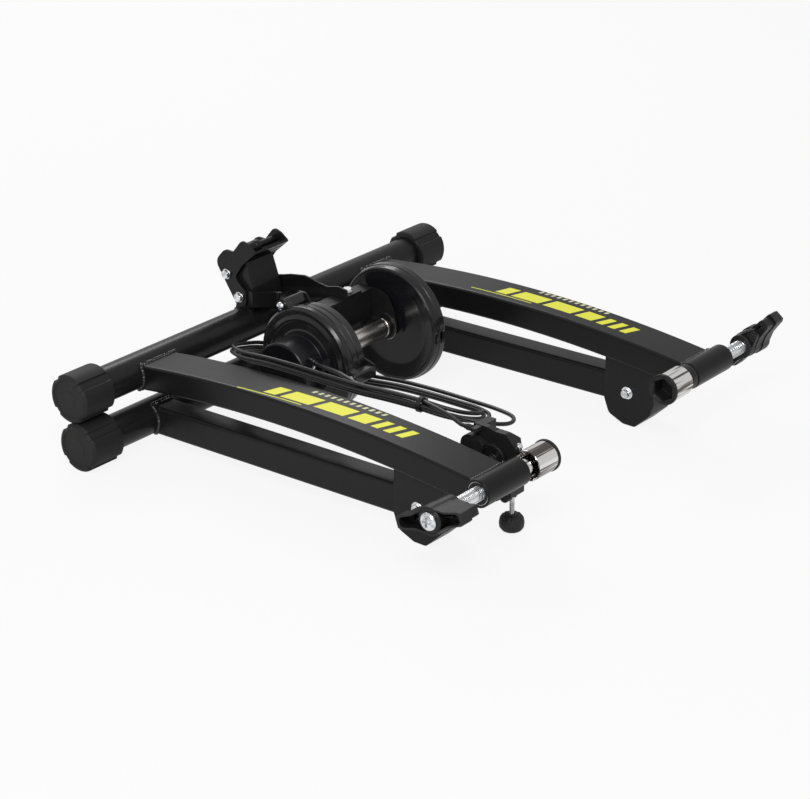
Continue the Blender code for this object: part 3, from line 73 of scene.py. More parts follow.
def calc(tree, operation, first, second, clamp=False):
    return add(tree, "ShaderNodeMath", {0: first, 1: second}, operation=operation, use_clamp=clamp).outputs[0]


def speckle(tree, vector, scale, detail, roughness=0.55):
    return add(tree, "ShaderNodeTexNoise", {"Vector": vector, "Scale": scale, "Detail": detail,
                                            "Roughness": roughness}).outputs["Fac"]


def blend(tree, share, first, second):
    return add(tree, "ShaderNodeMix", {0: share, 6: first, 7: second}, data_type="RGBA").outputs[2]


def nodeGroup(name, inputs, outputs, kind="ShaderNodeTree"):
    # inputs and outputs give the sort of each socket.
    group = bpy.data.node_groups.new(name, kind)
    for way, sockets in (("INPUT", inputs), ("OUTPUT", outputs)):
        for label, sort in sockets.items():
            group.interface.new_socket(name=label, in_out=way, socket_type="NodeSocket" + sort)
    return group, add(group, "NodeGroupInput").outputs, add(group, "NodeGroupOutput")


def buildGrainGroup():
    # Fine surface height: a powder coat's orange peel or a mould's spark grain.
    group, given, result = nodeGroup("surfaceGrain", {"Vector": "Vector", "Scale": "Float",
                                                      "Coarse": "Float"},
                                     {"Height": "Float"})
    fine = speckle(group, given["Vector"], given["Scale"], 2.0)
    wideScale = calc(group, "MULTIPLY", given["Scale"], marks["wideGrain"])
    wide = speckle(group, given["Vector"], wideScale, 2.0)
    height = calc(group, "ADD", fine, calc(group, "MULTIPLY", wide, given["Coarse"]))
    fill(group, result, {"Height": height})
    return group


def buildWearGroup():
    # Handling marks: broad smudges, fine dust on upward faces and a lighter line on the edges, which on the
    # cable boss is also a painted rim highlight.
    group, given, result = nodeGroup(
        "handlingWear", {"Vector": "Vector", "Roughness": "Float", "Smudge": "Float", "Colour": "Color",
                         "Worn Colour": "Color", "Edge": "Float", "Dust": "Float"},
        {"Colour": "Color", "Roughness": "Float"})
    smear = speckle(group, given["Vector"], marks["smear"], 4.0, marks["smearRough"])
    smudge = calc(group, "MULTIPLY", calc(group, "SUBTRACT", smear, 0.5), given["Smudge"])
    shape = add(group, "ShaderNodeNewGeometry").outputs
    sharp = calc(group, "SUBTRACT", shape["Pointiness"], marks["edgeFrom"])
    edge = calc(group, "MULTIPLY", sharp, marks["edgeGain"], True)
    patchy = speckle(group, given["Vector"], marks["patches"], 3.0)
    edge = calc(group, "MULTIPLY", calc(group, "MULTIPLY", edge, patchy), given["Edge"], True)
    split = add(group, "ShaderNodeSeparateXYZ", {0: shape["Normal"]})
    up = calc(group, "MAXIMUM", split.outputs["Z"], 0.0)
    dust = calc(group, "MULTIPLY", calc(group, "MULTIPLY", up, smear), given["Dust"])
    worn = calc(group, "ADD", edge, dust, True)
    fill(group, result, {"Colour": blend(group, worn, given["Colour"], given["Worn Colour"]),
                         "Roughness": calc(group, "ADD", given["Roughness"], smudge, True)})
    return group


def buildReflectionStreakGroup():
    # Painted reflections: long light and dark streaks along X mixed into the colour,
    # as polished metal shows between a lamp and a dark room.
    group, given, result = nodeGroup("paintedReflectionStreaks", {"Vector": "Vector", "Colour": "Color",
                                                       "Amount": "Float"},
                                     {"Colour": "Color"})
    stretch = add(group, "ShaderNodeVectorMath", {0: given["Vector"], 1: marks["stretch"]},
                  operation="MULTIPLY")
    bands = speckle(group, stretch.outputs[0], marks["reflectionStreaks"], 2.5, 0.6)
    above = calc(group, "SUBTRACT", bands, marks["reflectionStreakFrom"])
    sharp = calc(group, "MULTIPLY", above, marks["reflectionStreakGain"], True)
    share = calc(group, "MULTIPLY", sharp, given["Amount"])
    fill(group, result, {"Colour": blend(group, share, given["Colour"], marks["reflectionStreakColour"])})
    return group


grainGroup, wearGroup, reflectionStreakGroup = buildGrainGroup(), buildWearGroup(), buildReflectionStreakGroup()

# Every look, and what some of them share. What one leaves out is as buildFinish gives it.
metal = dict(metallic=1.0, specular=0.5)
decal = dict(rough=0.42, smudge=0.1, edge=0.0, dust=0.06, coarse=0.8, depth=0.03)
finishes = {
    "powderBlack": dict(colour=(0.0072, 0.0070, 0.0072), worn=(0.05, 0.05, 0.052), rough=0.30, edge=0.25,
                        dust=0.08, coarse=0.8, specular=0.21),
    "weldBlack": dict(colour=(0.006,) * 3, worn=(0.05,) * 3, rough=0.26, smudge=0.16, edge=0.2, dust=0.10,
                      grain=900.0, coarse=0.9, depth=0.12, specular=0.55),
    "capRubber": dict(colour=(0.0105, 0.0100, 0.0098), worn=(0.05,) * 3, rough=0.60, smudge=0.16, edge=0.5,
                      dust=0.20, grain=1900.0, coarse=0.4, depth=0.22),
    "glossHousing": dict(colour=(0.0125, 0.0118, 0.0122), worn=(0.06, 0.06, 0.062), rough=0.22, smudge=0.20,
                         dust=0.22, grain=420.0, coarse=0.9, specular=0.34, coat=0.10),
    # The boss's lighter worn edge line is edge wear and also a painted highlight along the boss's rim.
    "bossBlack": dict(colour=(0.0052, 0.0050, 0.0066), worn=(0.09, 0.09, 0.10), rough=0.30, smudge=0.14,
                      edge=0.8, dust=0.06, grain=900.0, coarse=0.6),
    "flywheelEnamel": dict(colour=(0.0085, 0.0080, 0.0095), worn=(0.06, 0.06, 0.065), rough=0.24, smudge=0.16,
                           grain=420.0, coarse=1.0, depth=0.04, specular=0.34, coat=0.15),
    "mouldedBlack": dict(colour=(0.0088, 0.0084, 0.0084), worn=(0.06,) * 3, rough=0.40, smudge=0.14, edge=0.5,
                         grain=2600.0, coarse=0.3, depth=0.18),
    "knobBlack": dict(colour=(0.013, 0.013, 0.0125), worn=(0.07,) * 3, rough=0.52, edge=0.5, dust=0.2,
                      coarse=0.3, depth=0.45, specular=0.35),
    "cableJacket": dict(colour=(0.010, 0.010, 0.0102), worn=(0.04, 0.04, 0.042), rough=0.34, edge=0.0,
                        grain=1400.0, coarse=0.4, depth=0.06, specular=0.42),
    # The three metals below get painted reflections: dark streaks along X mixed into their colour.
    "zincPlate": dict(colour=(0.84, 0.86, 0.88), worn=(0.92, 0.93, 0.95), rough=0.22, smudge=0.2, edge=0.4,
                      dust=0.04, grain=1300.0, depth=0.06, reflectionStreak=0.32, **metal),
    "chrome": dict(colour=(0.86, 0.85, 0.84), worn=(0.9,) * 3, rough=0.10, smudge=0.06, edge=0.2, dust=0.02,
                   grain=900.0, depth=0.008, reflectionStreak=0.92, **metal),
    "rollerSteel": dict(colour=(0.80, 0.77, 0.74), worn=(0.8,) * 3, rough=0.22, dust=0.03, depth=0.03,
                        reflectionStreak=0.55, **metal),
    "turnedAluminium": dict(colour=(0.66, 0.67, 0.68), worn=(0.8,) * 3, rough=0.34, smudge=0.1, dust=0.03,
                            grain=1200.0, depth=0.04, **metal),
    "decalYellow": dict(colour=(0.90, 0.89, 0.055), worn=(0.80, 0.79, 0.12), **decal),
    "decalPale": dict(colour=(0.74, 0.74, 0.44), worn=(0.6, 0.6, 0.4), **decal),
}


def buildFinish(name, colour, worn, rough, smudge=0.12, edge=0.3, dust=0.12, grain=1500.0, coarse=0.5,
                depth=0.05, metallic=0.0, specular=0.30, coat=0.0, reflectionStreak=0.0):
    material = bpy.data.materials.new(name)
    material.use_nodes = True
    tree = material.node_tree
    place = add(tree, "ShaderNodeTexCoord").outputs["Object"]
    wear = add(tree, "ShaderNodeGroup", node_tree=wearGroup)
    fill(tree, wear, {"Vector": place, "Roughness": rough, "Smudge": smudge, "Colour": (*colour, 1),
                      "Worn Colour": (*worn, 1), "Edge": edge, "Dust": dust})
    tone = wear.outputs["Colour"]
    # Painted reflections: dark streaks along X mixed into the metal's colour.
    if reflectionStreak:
        tone = add(tree, "ShaderNodeGroup", {"Vector": place, "Colour": tone, "Amount": reflectionStreak},
                   node_tree=reflectionStreakGroup).outputs["Colour"]
    skin = add(tree, "ShaderNodeGroup", {"Vector": place, "Scale": grain, "Coarse": coarse},
               node_tree=grainGroup)
    bump = add(tree, "ShaderNodeBump", {"Strength": depth, "Distance": marks["bumpHeight"],
                                        "Height": skin.outputs["Height"]})
    fill(tree, tree.nodes["Principled BSDF"], {
        "Base Color": tone, "Roughness": wear.outputs["Roughness"], "Normal": bump.outputs["Normal"],
        "Metallic": metallic, "Specular IOR Level": specular, "Coat Weight": coat,
        "Coat Roughness": marks["coatRough"]})
    return material


materials = {name: buildFinish(name, **values) for name, values in finishes.items()}
print("finishes ready")


# Making meshes. Points closer than merge, in metres, become one, and edges that turn by more than
# roundFrom degrees are rounded where a piece asks for it.

edges = dict(merge=0.000002, lastMerge=0.0000008, roundFrom=38, normalWeight=60)


def linked(name, data):
    item = bpy.data.objects.new(name, data)
    bpy.context.scene.collection.objects.link(item)
    return item


def tidy(item, merge=edges["merge"]):
    shape = bmesh.new()
    shape.from_mesh(item.data)
    bmesh.ops.remove_doubles(shape, verts=shape.verts, dist=merge)
    bmesh.ops.recalc_face_normals(shape, faces=shape.faces)
    shape.to_mesh(item.data)
    shape.free()
    return item


def meshObject(name, points, faces):
    mesh = bpy.data.meshes.new(name)
    mesh.from_pydata(points, [], faces)
    return tidy(linked(name, mesh))


def bake(item):
    # The object with its modifiers becomes a plain mesh at the origin.
    bpy.context.view_layer.update()
    graph = bpy.context.evaluated_depsgraph_get()
    mesh = bpy.data.meshes.new_from_object(item.evaluated_get(graph), preserve_all_data_layers=True,
                                           depsgraph=graph)
    mesh.transform(item.matrix_world)
    name = item.name
    bpy.data.objects.remove(item, do_unlink=True)
    return linked(name, mesh)


def modifier(item, kind, **values):
    step = item.modifiers.new(kind.lower(), kind)
    for key, value in values.items():
        setattr(step, key, value)


def combined(item, others, operation):
    if not others:
        return item
    for other in others:
        modifier(item, "BOOLEAN", operation=operation, solver="EXACT", object=other)
    item = bake(item)
    for other in others:
        bpy.data.objects.remove(other, do_unlink=True)
    return item


def finishPiece(item, body, finish, node=None, added=(), cut=(), width=0.0, segments=2, angle=35,
                weighted=True):
    # Other shapes are added and cut away, edges are rounded and the piece is tied to its body.
    item = combined(combined(item, added, "UNION"), cut, "DIFFERENCE")
    if width:
        modifier(item, "BEVEL", width=width / 1000, segments=segments, limit_method="ANGLE",
                 angle_limit=radians(edges["roundFrom"]))
        item = bake(item)
    tidy(item, edges["lastMerge"])
    item.data.shade_smooth()
    item.data.set_sharp_from_angle(angle=radians(angle))
    if weighted:
        modifier(item, "WEIGHTED_NORMAL", keep_sharp=True, weight=edges["normalWeight"])
        item = bake(item)
    item.data.materials.clear()
    item.data.materials.append(materials[finish])
    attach(item, body)
    if node:
        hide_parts(node)
    return item


def joined(items):
    # Several closed shells in one mesh.
    shape = bmesh.new()
    name = items[0].name
    for item in items:
        shape.from_mesh(item.data)
        bpy.data.objects.remove(item, do_unlink=True)
    mesh = bpy.data.meshes.new(name)
    shape.to_mesh(mesh)
    shape.free()
    return linked(name, mesh)


def alongX(y, z):
    return lambda height, a, b: at(height, y + a, z + b)


def alongZ(x, y):
    return lambda height, a, b: at(x + a, y + b, height)


def between(start, end):
    turn = (Vector(end) - Vector(start)).to_track_quat("Z", "Y")
    return lambda height, a, b: at(*(Vector(start) + turn @ Vector((a, b, height))))


def softened(profile, steps=3, closed=False):
    # A line of (a, b, corner radius) with its corners rounded. A corner without a radius stays sharp.
    line = []
    count = len(profile)
    for index, corner in enumerate(profile):
        here = Vector(corner[:2])
        size = corner[2] if len(corner) > 2 else 0
        if size == 0 or (not closed and index in (0, count - 1)):
            line.append(tuple(here))
            continue
        before = Vector(profile[index - 1][:2]) - here
        after = Vector(profile[(index + 1) % count][:2]) - here
        half = max(before.angle(after) / 2, 0.05)
        reach = min(size / tan(half), before.length * 0.45, after.length * 0.45)
        start = here + before.normalized() * reach
        end = here + after.normalized() * reach
        for step in range(steps + 1):
            t = step / steps
            line.append(tuple(start * (1 - t) ** 2 + here * (2 * t * (1 - t)) + end * t ** 2))
    return line


def turned(name, profile, put, steps=96, soft=0, side=1, closed=False, lobes=None):
    # A line of (height, radius) turned about an axis. soft rounds its corners in so many steps, side -1
    # mirrors it and lobes changes the radius with the angle.
    points, faces, rings = [], [], []
    for height, radius in softened(profile, soft, closed) if soft else profile:
        height *= side
        if radius <= 0:
            rings.append([len(points)] * steps)
            points.append(put(height, 0, 0))
            continue
        rings.append(list(range(len(points), len(points) + steps)))
        for step in range(steps):
            turn = 2 * pi * step / steps
            r = radius + (lobes(height, radius, turn) if lobes else 0)
            points.append(put(height, r * cos(turn), r * sin(turn)))
    for first, second in zip(rings, rings[1:] + (rings[:1] if closed else [])):
        for step in range(steps):
            after = (step + 1) % steps
            face = list(dict.fromkeys((first[step], first[after], second[after], second[step])))
            if len(face) > 2:
                faces.append(face)
    return meshObject(name, points, faces)


def ring(name, profile, put, steps=96, soft=3, side=1, lobes=None):
    return turned(name, profile, put, steps, soft, side, True, lobes)


def rod(radius, low, high, put, steps=48):
    return turned("rod", [(low, 0), (low, radius), (high, radius), (high, 0)], put, steps)


def plate(name, outline, low, high, put=alongX(0, 0), capOrder=1):
    # A flat outline with a thickness along X, or along the given axis. capOrder -1 lists the two flat
    # faces backwards, which only changes how a cut is divided into triangles.
    count = len(outline)
    points = [put(height, a, b) for height in (low, high) for a, b in outline]
    faces = [list(range(count))[::capOrder], list(range(2 * count - 1, count - 1, -1))[::capOrder]]
    for index in range(count):
        after = (index + 1) % count
        faces.append([index, after, count + after, count + index])
    return meshObject(name, points, faces)


def rectangle(low, high):
    return [low, (high[0], low[1]), high, (low[0], high[1])]


def block(name, low, high):
    return plate(name, rectangle(low[:2], high[:2]), low[2], high[2], alongZ(0, 0))


def arc(centre, radius, start, end, steps):
    turns = [radians(start + (end - start) * step / steps) for step in range(steps + 1)]
    return [(centre[0] + radius * cos(turn), centre[1] + radius * sin(turn)) for turn in turns]


def roundedBox(halfWide, halfHigh, corner, steps=5):
    line = []
    for index, (a, b) in enumerate(((1, 1), (-1, 1), (-1, -1), (1, -1))):
        middle, start = (a * (halfWide - corner), b * (halfHigh - corner)), 90 * index
        line += arc(middle, corner, start, start + 90, steps)
    return line


def swept(name, section, stations):
    # One section carried along stations of (middle, upwards). It lies along X.
    count = len(section)
    points = [middle + Vector((1, 0, 0)) * (a / 1000) + upwards * (b / 1000)
              for middle, upwards in stations for a, b in section]
    faces = []
    for base in range(0, len(points) - count, count):
        for index in range(count):
            after = (index + 1) % count
            faces.append([base + index, base + after, base + count + after, base + count + index])
    faces.append(list(range(count)))
    faces.append(list(range(len(points) - 1, len(points) - count - 1, -1)))
    return meshObject(name, points, faces)


def wire(name, points, radius, resolution):
    curve = bpy.data.curves.new(name, "CURVE")
    curve.dimensions = "3D"
    curve.bevel_depth = radius / 1000
    curve.bevel_resolution = resolution
    line = curve.splines.new("POLY")
    line.points.add(len(points) - 1)
    for point, value in zip(line.points, points):
        point.co = (*value, 1)
    return linked(name, curve)


# Geometry Nodes for what repeats or winds

def barCopies(tree, given, points, **more):
    bar = add(tree, "GeometryNodeMeshCube", {"Size": given["Rib Size"]})
    inputs = {"Points": points, "Instance": bar.outputs["Mesh"], **more}
    return add(tree, "GeometryNodeInstanceOnPoints", inputs)


def ribsRound(tree, given):
    # Bars set round an axis (Z), each standing out from a drum.
    circle = add(tree, "GeometryNodeCurvePrimitiveCircle", {"Radius": given["Radius"]})
    spots = add(tree, "GeometryNodeCurveToPoints", {"Curve": circle.outputs[0],
                                                    "Count": given["Count"]}).outputs
    return barCopies(tree, given, spots["Points"], Rotation=spots["Rotation"])


def ribsInRow(tree, given):
    # Bars set in a straight row along X.
    step = add(tree, "ShaderNodeCombineXYZ", {"X": given["Pitch"]})
    line = add(tree, "GeometryNodeMeshLine", {"Count": given["Count"], "Offset": step.outputs[0]})
    return barCopies(tree, given, line.outputs[0])


def rolledThread(tree, given):
    # A ridge that winds along Z, as a rolled thread does.
    spiral = add(tree, "GeometryNodeCurveSpiral", {
        "Resolution": 32, "Rotations": given["Turns"], "Start Radius": given["Radius"],
        "End Radius": given["Radius"], "Height": given["Length"]})
    ridge = add(tree, "GeometryNodeCurvePrimitiveCircle", {"Resolution": 6, "Radius": given["Ridge"]})
    return add(tree, "GeometryNodeCurveToMesh", {"Curve": spiral.outputs[0],
                                                 "Profile Curve": ridge.outputs[0], "Fill Caps": True})


def buildTree(build, inputs):
    tree, given, result = nodeGroup(build.__name__, {**inputs, "Material": "Material"},
                                    {"Geometry": "Geometry"}, "GeometryNodeTree")
    real = add(tree, "GeometryNodeRealizeInstances", {0: build(tree, given).outputs[0]})
    paint = add(tree, "GeometryNodeSetMaterial", {"Geometry": real.outputs[0], "Material": given["Material"]})
    fill(tree, result, {"Geometry": paint.outputs[0]})
    return tree


ribTree = buildTree(ribsRound, {"Count": "Int", "Radius": "Float", "Rib Size": "Vector"})
rowTree = buildTree(ribsInRow, {"Count": "Int", "Pitch": "Float", "Rib Size": "Vector"})
threadTree = buildTree(rolledThread, {"Turns": "Float", "Radius": "Float", "Length": "Float",
                                      "Ridge": "Float"})


def grown(name, tree, values, matrix, finish):
    # The tree's geometry as a plain mesh, set in place by the matrix.
    item = meshObject(name, [], [])
    step = item.modifiers.new("nodes", "NODES")
    step.node_group = tree
    values["Material"] = materials[finish]
    for socket in tree.interface.items_tree:
        if socket.name in values:
            step[socket.identifier] = values[socket.name]
    item.matrix_world = matrix
    return bake(item)


def turnToX(x, y, z, sign=1):
    # Local Z points along X from the given place.
    return Matrix.Translation(at(x, y, z)) @ Matrix.Rotation(sign * pi / 2, 4, "Y")


# Screws and bolts. The head's lower face is at headX and the head lies away from tipX.

holes = dict(pivot=4.3, bolt=3.3, screw=2.3, clamp=2.8)


def wedge(turn):
    return cos((turn + pi / 6) % (pi / 3) - pi / 6)


def hexBolt(name, place, headX, tipX, radius, head, body, node, nut, washerWide=1.08):
    # The nut goes from its washer's face to its end.
    away = 1 if headX > tipX else -1
    height, rim = head * 0.72, head * washerWide
    low, high = nut
    onward = 1 if high > low else -1

    def sixSided(h, r, turn):
        return 0 if r < head * 0.9 else r * (0.866 / wedge(turn) - 1)
    parts = [
        turned(name, [(headX, 0), (headX, head * 0.98), (headX + away * height * 0.86, head * 0.98),
                      (headX + away * height, head * 0.82), (headX + away * height, 0)], place, 48,
               lobes=sixSided),
        turned("washer", [(headX, 0), (headX, rim), (headX + away * 0.7, rim),
                          (headX + away * 1.0, rim - 0.4), (headX + away * 1.0, 0)], place, 48),
        rod(radius, headX, tipX, place, 32),
        turned("nut", [(low + onward * 0.8, 0), (low + onward * 0.8, head * 0.95),
                       (high - onward * 0.5, head * 0.95), (high, head * 0.8), (high, 0)], place, 48,
               lobes=sixSided),
        turned("nutWasher", [(low, 0), (low, rim), (low + onward * 0.9, rim - 0.2), (low + onward * 0.9, 0)],
               place, 48)]
    finishPiece(joined(parts), body, "zincPlate", node, angle=30)


def panScrew(name, place, headX, tipX, radius, height, shank, body, node=None, finish="zincPlate"):
    # Rounded head with a cross recess.
    rise = height if headX > tipX else -height
    line = [(headX, 0), (headX, radius)]
    for turn in (radians(90 * step / 6) for step in range(7)):
        line.append((headX + rise * (0.35 + 0.65 * sin(turn)), radius * (0.30 + 0.70 * cos(turn))))
    line.append((headX + rise, 0))
    recess = [plate("recess", rectangle((-a, -b), (a, b)), headX + rise * 0.45, headX + rise * 1.4, place, -1)
              for a, b in ((radius * 0.55, radius * 0.13), (radius * 0.13, radius * 0.55))]
    head = combined(turned(name, line, place, 48), recess, "DIFFERENCE")
    finishPiece(joined([head, rod(shank, headX + rise * 0.2, tipX, place, 32)]), body, finish, node, angle=30)


# Frame: cross tubes, caps, arms

tube = dict(radius=17.5, wall=2.0, half=266.2, upper=(0.0, 73.04), lower=(-8.6, 24.5))
cap = dict(radius=24.5, length=40.0, end=272.5, recess=0.9, notchWide=8.2, notchDeep=1.8)


def makeTubes():
    r, half, inside = tube["radius"], tube["half"], tube["radius"] - tube["wall"]
    for level in ("upper", "lower"):
        line = [(-half, inside), (-half, r), (half, r), (half, inside)]
        item = ring(level + "CrossTube", line, alongX(*tube[level]), 128, 0)
        finishPiece(item, level + "_frame", "powderBlack", level + "_cross_tube", angle=40)


def notches(height, radius, turn):
    # Four lengthwise grooves with soft shoulders.
    if radius < cap["radius"] - 4.2:
        return 0
    off = (turn - pi / 4) % (pi / 2)
    across = min(off, pi / 2 - off) * cap["radius"]
    share = max(0.0, min(1.0, (cap["notchWide"] / 2 + 0.5 - across) / 0.9))
    return -cap["notchDeep"] * share * share * (3 - 2 * share)


def makeCaps():
    r, end, inside = cap["radius"], cap["end"], tube["radius"] + 0.25
    start, face = end - cap["length"], end - cap["recess"]
    line = [(start + 12, inside), (start + 1.2, inside), (start, tube["radius"] + 1.0), (start, r - 1.6, 1.2),
            (start + 1.4, r, 1.0), (end - 2.6, r, 1.6), (end, r - 2.8, 1.8), (end, r - 5.4, 0.5),
            (face, r - 6.0, 0.4), (face, 9.0, 0.3), (end - 0.5, 8.4, 0.3), (end - 0.5, 0)]
    for level in ("upper", "lower"):
        for label, word, side in sides:
            item = turned("endCap" + level.capitalize() + word, line, alongX(*tube[level]), 256, 3, side,
                          lobes=notches)
            finishPiece(item, level + "_frame", "capRubber", "end_cap_%s_%s" % (level, label), angle=32)


arm = dict(x=165.0, width=47.0, height=26.0, corner=3.2, rear=(-13.4, 84.3), front=(-421.4, 86.4), rise=13.0,
           startY=-9.0, endY=-424.6, stations=72, sleeveCut=1.1)
chord = Vector(arm["front"]) - Vector(arm["rear"])
archRadius = (chord.length ** 2 / 4 + arm["rise"] ** 2) / (2 * arm["rise"])
archUp = Vector((chord.y, -chord.x)).normalized()
archCentre = (Vector(arm["rear"]) + Vector(arm["front"])) / 2 - archUp * (archRadius - arm["rise"])


def archZ(y, drop=0.0):
    # Height of the upper arm's top face, or of a line that lies the drop below it.
    return archCentre.y + sqrt((archRadius - drop) ** 2 - (y - archCentre.x) ** 2)


def makeUpperArms():
    section = roundedBox(arm["width"] / 2, arm["height"] / 2, arm["corner"], 6)
    for label, word, side in sides:
        stations = []
        for index in range(arm["stations"] + 1):
            y = arm["startY"] + (arm["endY"] - arm["startY"]) * index / arm["stations"]
            z = archZ(y, arm["height"] / 2)
            up = Vector((0, y - archCentre.x, z - archCentre.y)).normalized()
            stations.append((at(side * arm["x"], y, z), up))
        room = rod(sleeve["radius"] - arm["sleeveCut"], side * (sleeve["inner"] - 5),
                   side * (sleeve["outer"] + 5), axle, 96)
        finishPiece(swept("upperArm" + word, section, stations), "upper_frame", "powderBlack",
                    "upper_arm_" + label, cut=[room], angle=50)


pivot = (-355.0, 35.4)
lower = dict(x=166.2, width=26.0, height=30.0, corner=3.4, roundSteps=7, short=12)
lowerWay = Vector(tube["lower"]) - Vector(pivot)
lowerLong = lowerWay.length
lowerWay.normalize()
lowerRise = Vector((0, -lowerWay.y, lowerWay.x))


def makeLowerArms():
    section = roundedBox(lower["width"] / 2, lower["height"] / 2, lower["corner"], 5)
    ways = []
    for index in range(lower["roundSteps"] + 1):
        # the end at the pivot is rounded like the gusset's inside
        turn = pi / 2 * (1 - index / lower["roundSteps"])
        ways.append((-lower["height"] / 2 * sin(turn), lowerRise * max(cos(turn), 0.06)))
    ways.append((lowerLong - lower["short"], lowerRise))
    for label, word, side in sides:
        stations = []
        for along, up in ways:
            spot = Vector(pivot) + lowerWay * along
            stations.append((at(side * lower["x"], spot.x, spot.y), up))
        finishPiece(swept("lowerArm" + word, section, stations), "lower_frame", "powderBlack",
                    "lower_arm_" + label, angle=50)


# Each weld bead's thickness, how far it stands off its tube and its upper and lower height
weld = dict(Upper=(2.5, 0.4, 84.0, 58.9), Lower=(2.5, 0.4, 40.0, 11.8), Sleeve=(1.8, 0.3, 86.0, 67.2),
            sleeveHalf=23.0, ear=1.2, wave=0.20, lumps=0.25)


def weldBead(name, points, wide, body):
    # A wavy bead laid round a joint, along points that are already in place.
    item = wire(name, points, wide, 3)
    line = item.data.splines[0]
    line.use_cyclic_u = True
    for index, point in enumerate(points):
        lump = weld["lumps"] * noise.noise(point * 500)
        line.points[index].radius = 1.0 + weld["wave"] * sin(index * 2.1) + lump
    finishPiece(bake(item), body, "weldBlack", weighted=False, angle=60)


def makeWelds():
    for label, word, side in sides:
        for joint, body, x, half, (y, z), radius, way in (
                ("Upper", "upper_frame", arm["x"], arm["width"] / 2, tube["upper"], tube["radius"], -1),
                ("Lower", "lower_frame", lower["x"], lower["width"] / 2, tube["lower"], tube["radius"], -1),
                ("Sleeve", "upper_frame", arm["x"], weld["sleeveHalf"], (sleeve["y"], sleeve["z"]),
                 sleeve["radius"], 1)):
            wide, gap, top, bottom = weld[joint]
            corners = ((half, top), (-half, top), (-half, bottom), (half, bottom))
            line = [Vector((side * x + a, b)) for a, b in corners]
            beads = []
            for start, end in zip(line, line[1:] + line[:1]):
                steps = max(1, round((end - start).length))
                for step in range(steps):
                    spot = start + (end - start) * step / steps
                    reach = sqrt((radius + gap) ** 2 - (spot.y - z) ** 2)
                    beads.append(at(spot.x, y + way * reach, spot.y))
            weldBead("weld" + joint + word, beads, wide, body)


# Axle sleeves and clamps

sleeve = dict(y=-432.6, z=79.1, radius=13.4, wall=2.2, inner=135.0, outer=195.0, bush=11.0)
axle = alongX(sleeve["y"], sleeve["z"])


def makeSleeves():
    r, low, high = sleeve["radius"], sleeve["inner"], sleeve["outer"]
    inside = r - sleeve["wall"]
    tip, bush = high - 1.0, high - 1.0 - sleeve["bush"]
    pieces = (
        ("axleSleeve", "powderBlack", "axle_sleeve_", 4,
         [(low, inside, 0.2), (low, r, 0.9), (high, r, 0.9), (high, inside, 0.3)]),
        ("sleeveBush", "mouldedBlack", "sleeve_bush_", 3,
         [(bush, 7.3), (bush, inside - 0.2, 0.2), (tip, inside - 0.2, 0.4), (tip, 8.6, 0.3),
          (tip - 0.9, 7.3, 0.3)]),
        # A thin bright zinc ring put at each sleeve's outer end as a painted highlight along the sleeve's
        # rim.
        ("sleeveHighlightRing", "zincPlate", "", 0,
         [(tip - 0.8, inside - 0.6), (tip + 0.15, inside - 0.6), (tip + 0.15, inside - 0.3),
          (tip - 0.8, inside - 0.3)]))
    for label, word, side in sides:
        for name, finish, node, soft, line in pieces:
            item = ring(name + word, line, axle, 96, soft, side)
            finishPiece(item, "upper_frame", finish, node and node + label, angle=40)
    item = ring("lockRingFar", [(125.6, 9.1), (125.6, 12.7, 0.8), (134.6, 12.7, 0.8), (134.6, 9.1)], axle)
    finishPiece(item, "upper_frame", "mouldedBlack", "axle_lock_ring_far")


clamp = dict(mouth=92.0, radius=14.6, wall=1.6, floor=108.0, back=122.5, neck=8.8, neckEnd=134.0, spigot=5.3,
             rodRadius=7.0, rodStart=134.4, rodEnd=254.6, threadPitch=2.0, ridge=0.36)
handle = dict(start=228.0, end=262.0, hub=13.6, reach=38.0, root=24.0, rootDepth=31.0, tip=6.4, waist=7.2,
              waistAt=19.0, depth=25.0, wall=1.7, pocket=13.0, step=2.4, screw=8.6,
              tilt=dict(near=20.0, far=52.0))


def teeth(height, radius, turn):
    # The seat inside has shallow flats that grip a nut.
    return 0 if radius > 12.4 or radius < 5 else radius * (0.90 / wedge(turn) - 0.96)


def makeCups():
    r, inside, neck, spigot = clamp["radius"], clamp["radius"] - clamp["wall"], clamp["neck"], clamp["spigot"]
    low, floor, back, end = clamp["mouth"], clamp["floor"], clamp["back"], clamp["neckEnd"]
    cup = [(floor, 0), (floor, inside, 0.3), (low + 3.3, inside, 0.2), (low + 3.3, r, 0.4), (back, r, 0.9),
           (back, inside, 0.5), (111.2, inside, 0.4), (111.2, neck + 0.6, 0.6), (end, neck, 0.5),
           (end, spigot, 0.3), (111.0, spigot), (111.0, 0)]
    seat = [(107.6, 0), (107.6, 12.5, 0.3), (low + 3.1, 12.6), (low + 3.2, 15.4, 0.5), (low + 0.1, 15.4, 0.8),
            (low, 12.8, 0.3), (low + 0.7, 12.3, 0.3), (low + 0.7, 11.0, 0.4), (low + 3.0, 10.3, 0.4),
            (105.8, 10.0, 0.3), (105.8, 0)]
    for label, word, side in sides:
        item = turned("axleCup" + word, cup, axle, 128, 4, side)
        finishPiece(item, label + "_cup", "chrome", "clamp_cup_" + label, angle=40)
        item = turned("cupSeat" + word, seat, axle, 128, 4, side, lobes=teeth)
        finishPiece(item, label + "_cup", "mouldedBlack", "cup_insert_" + label, angle=40)


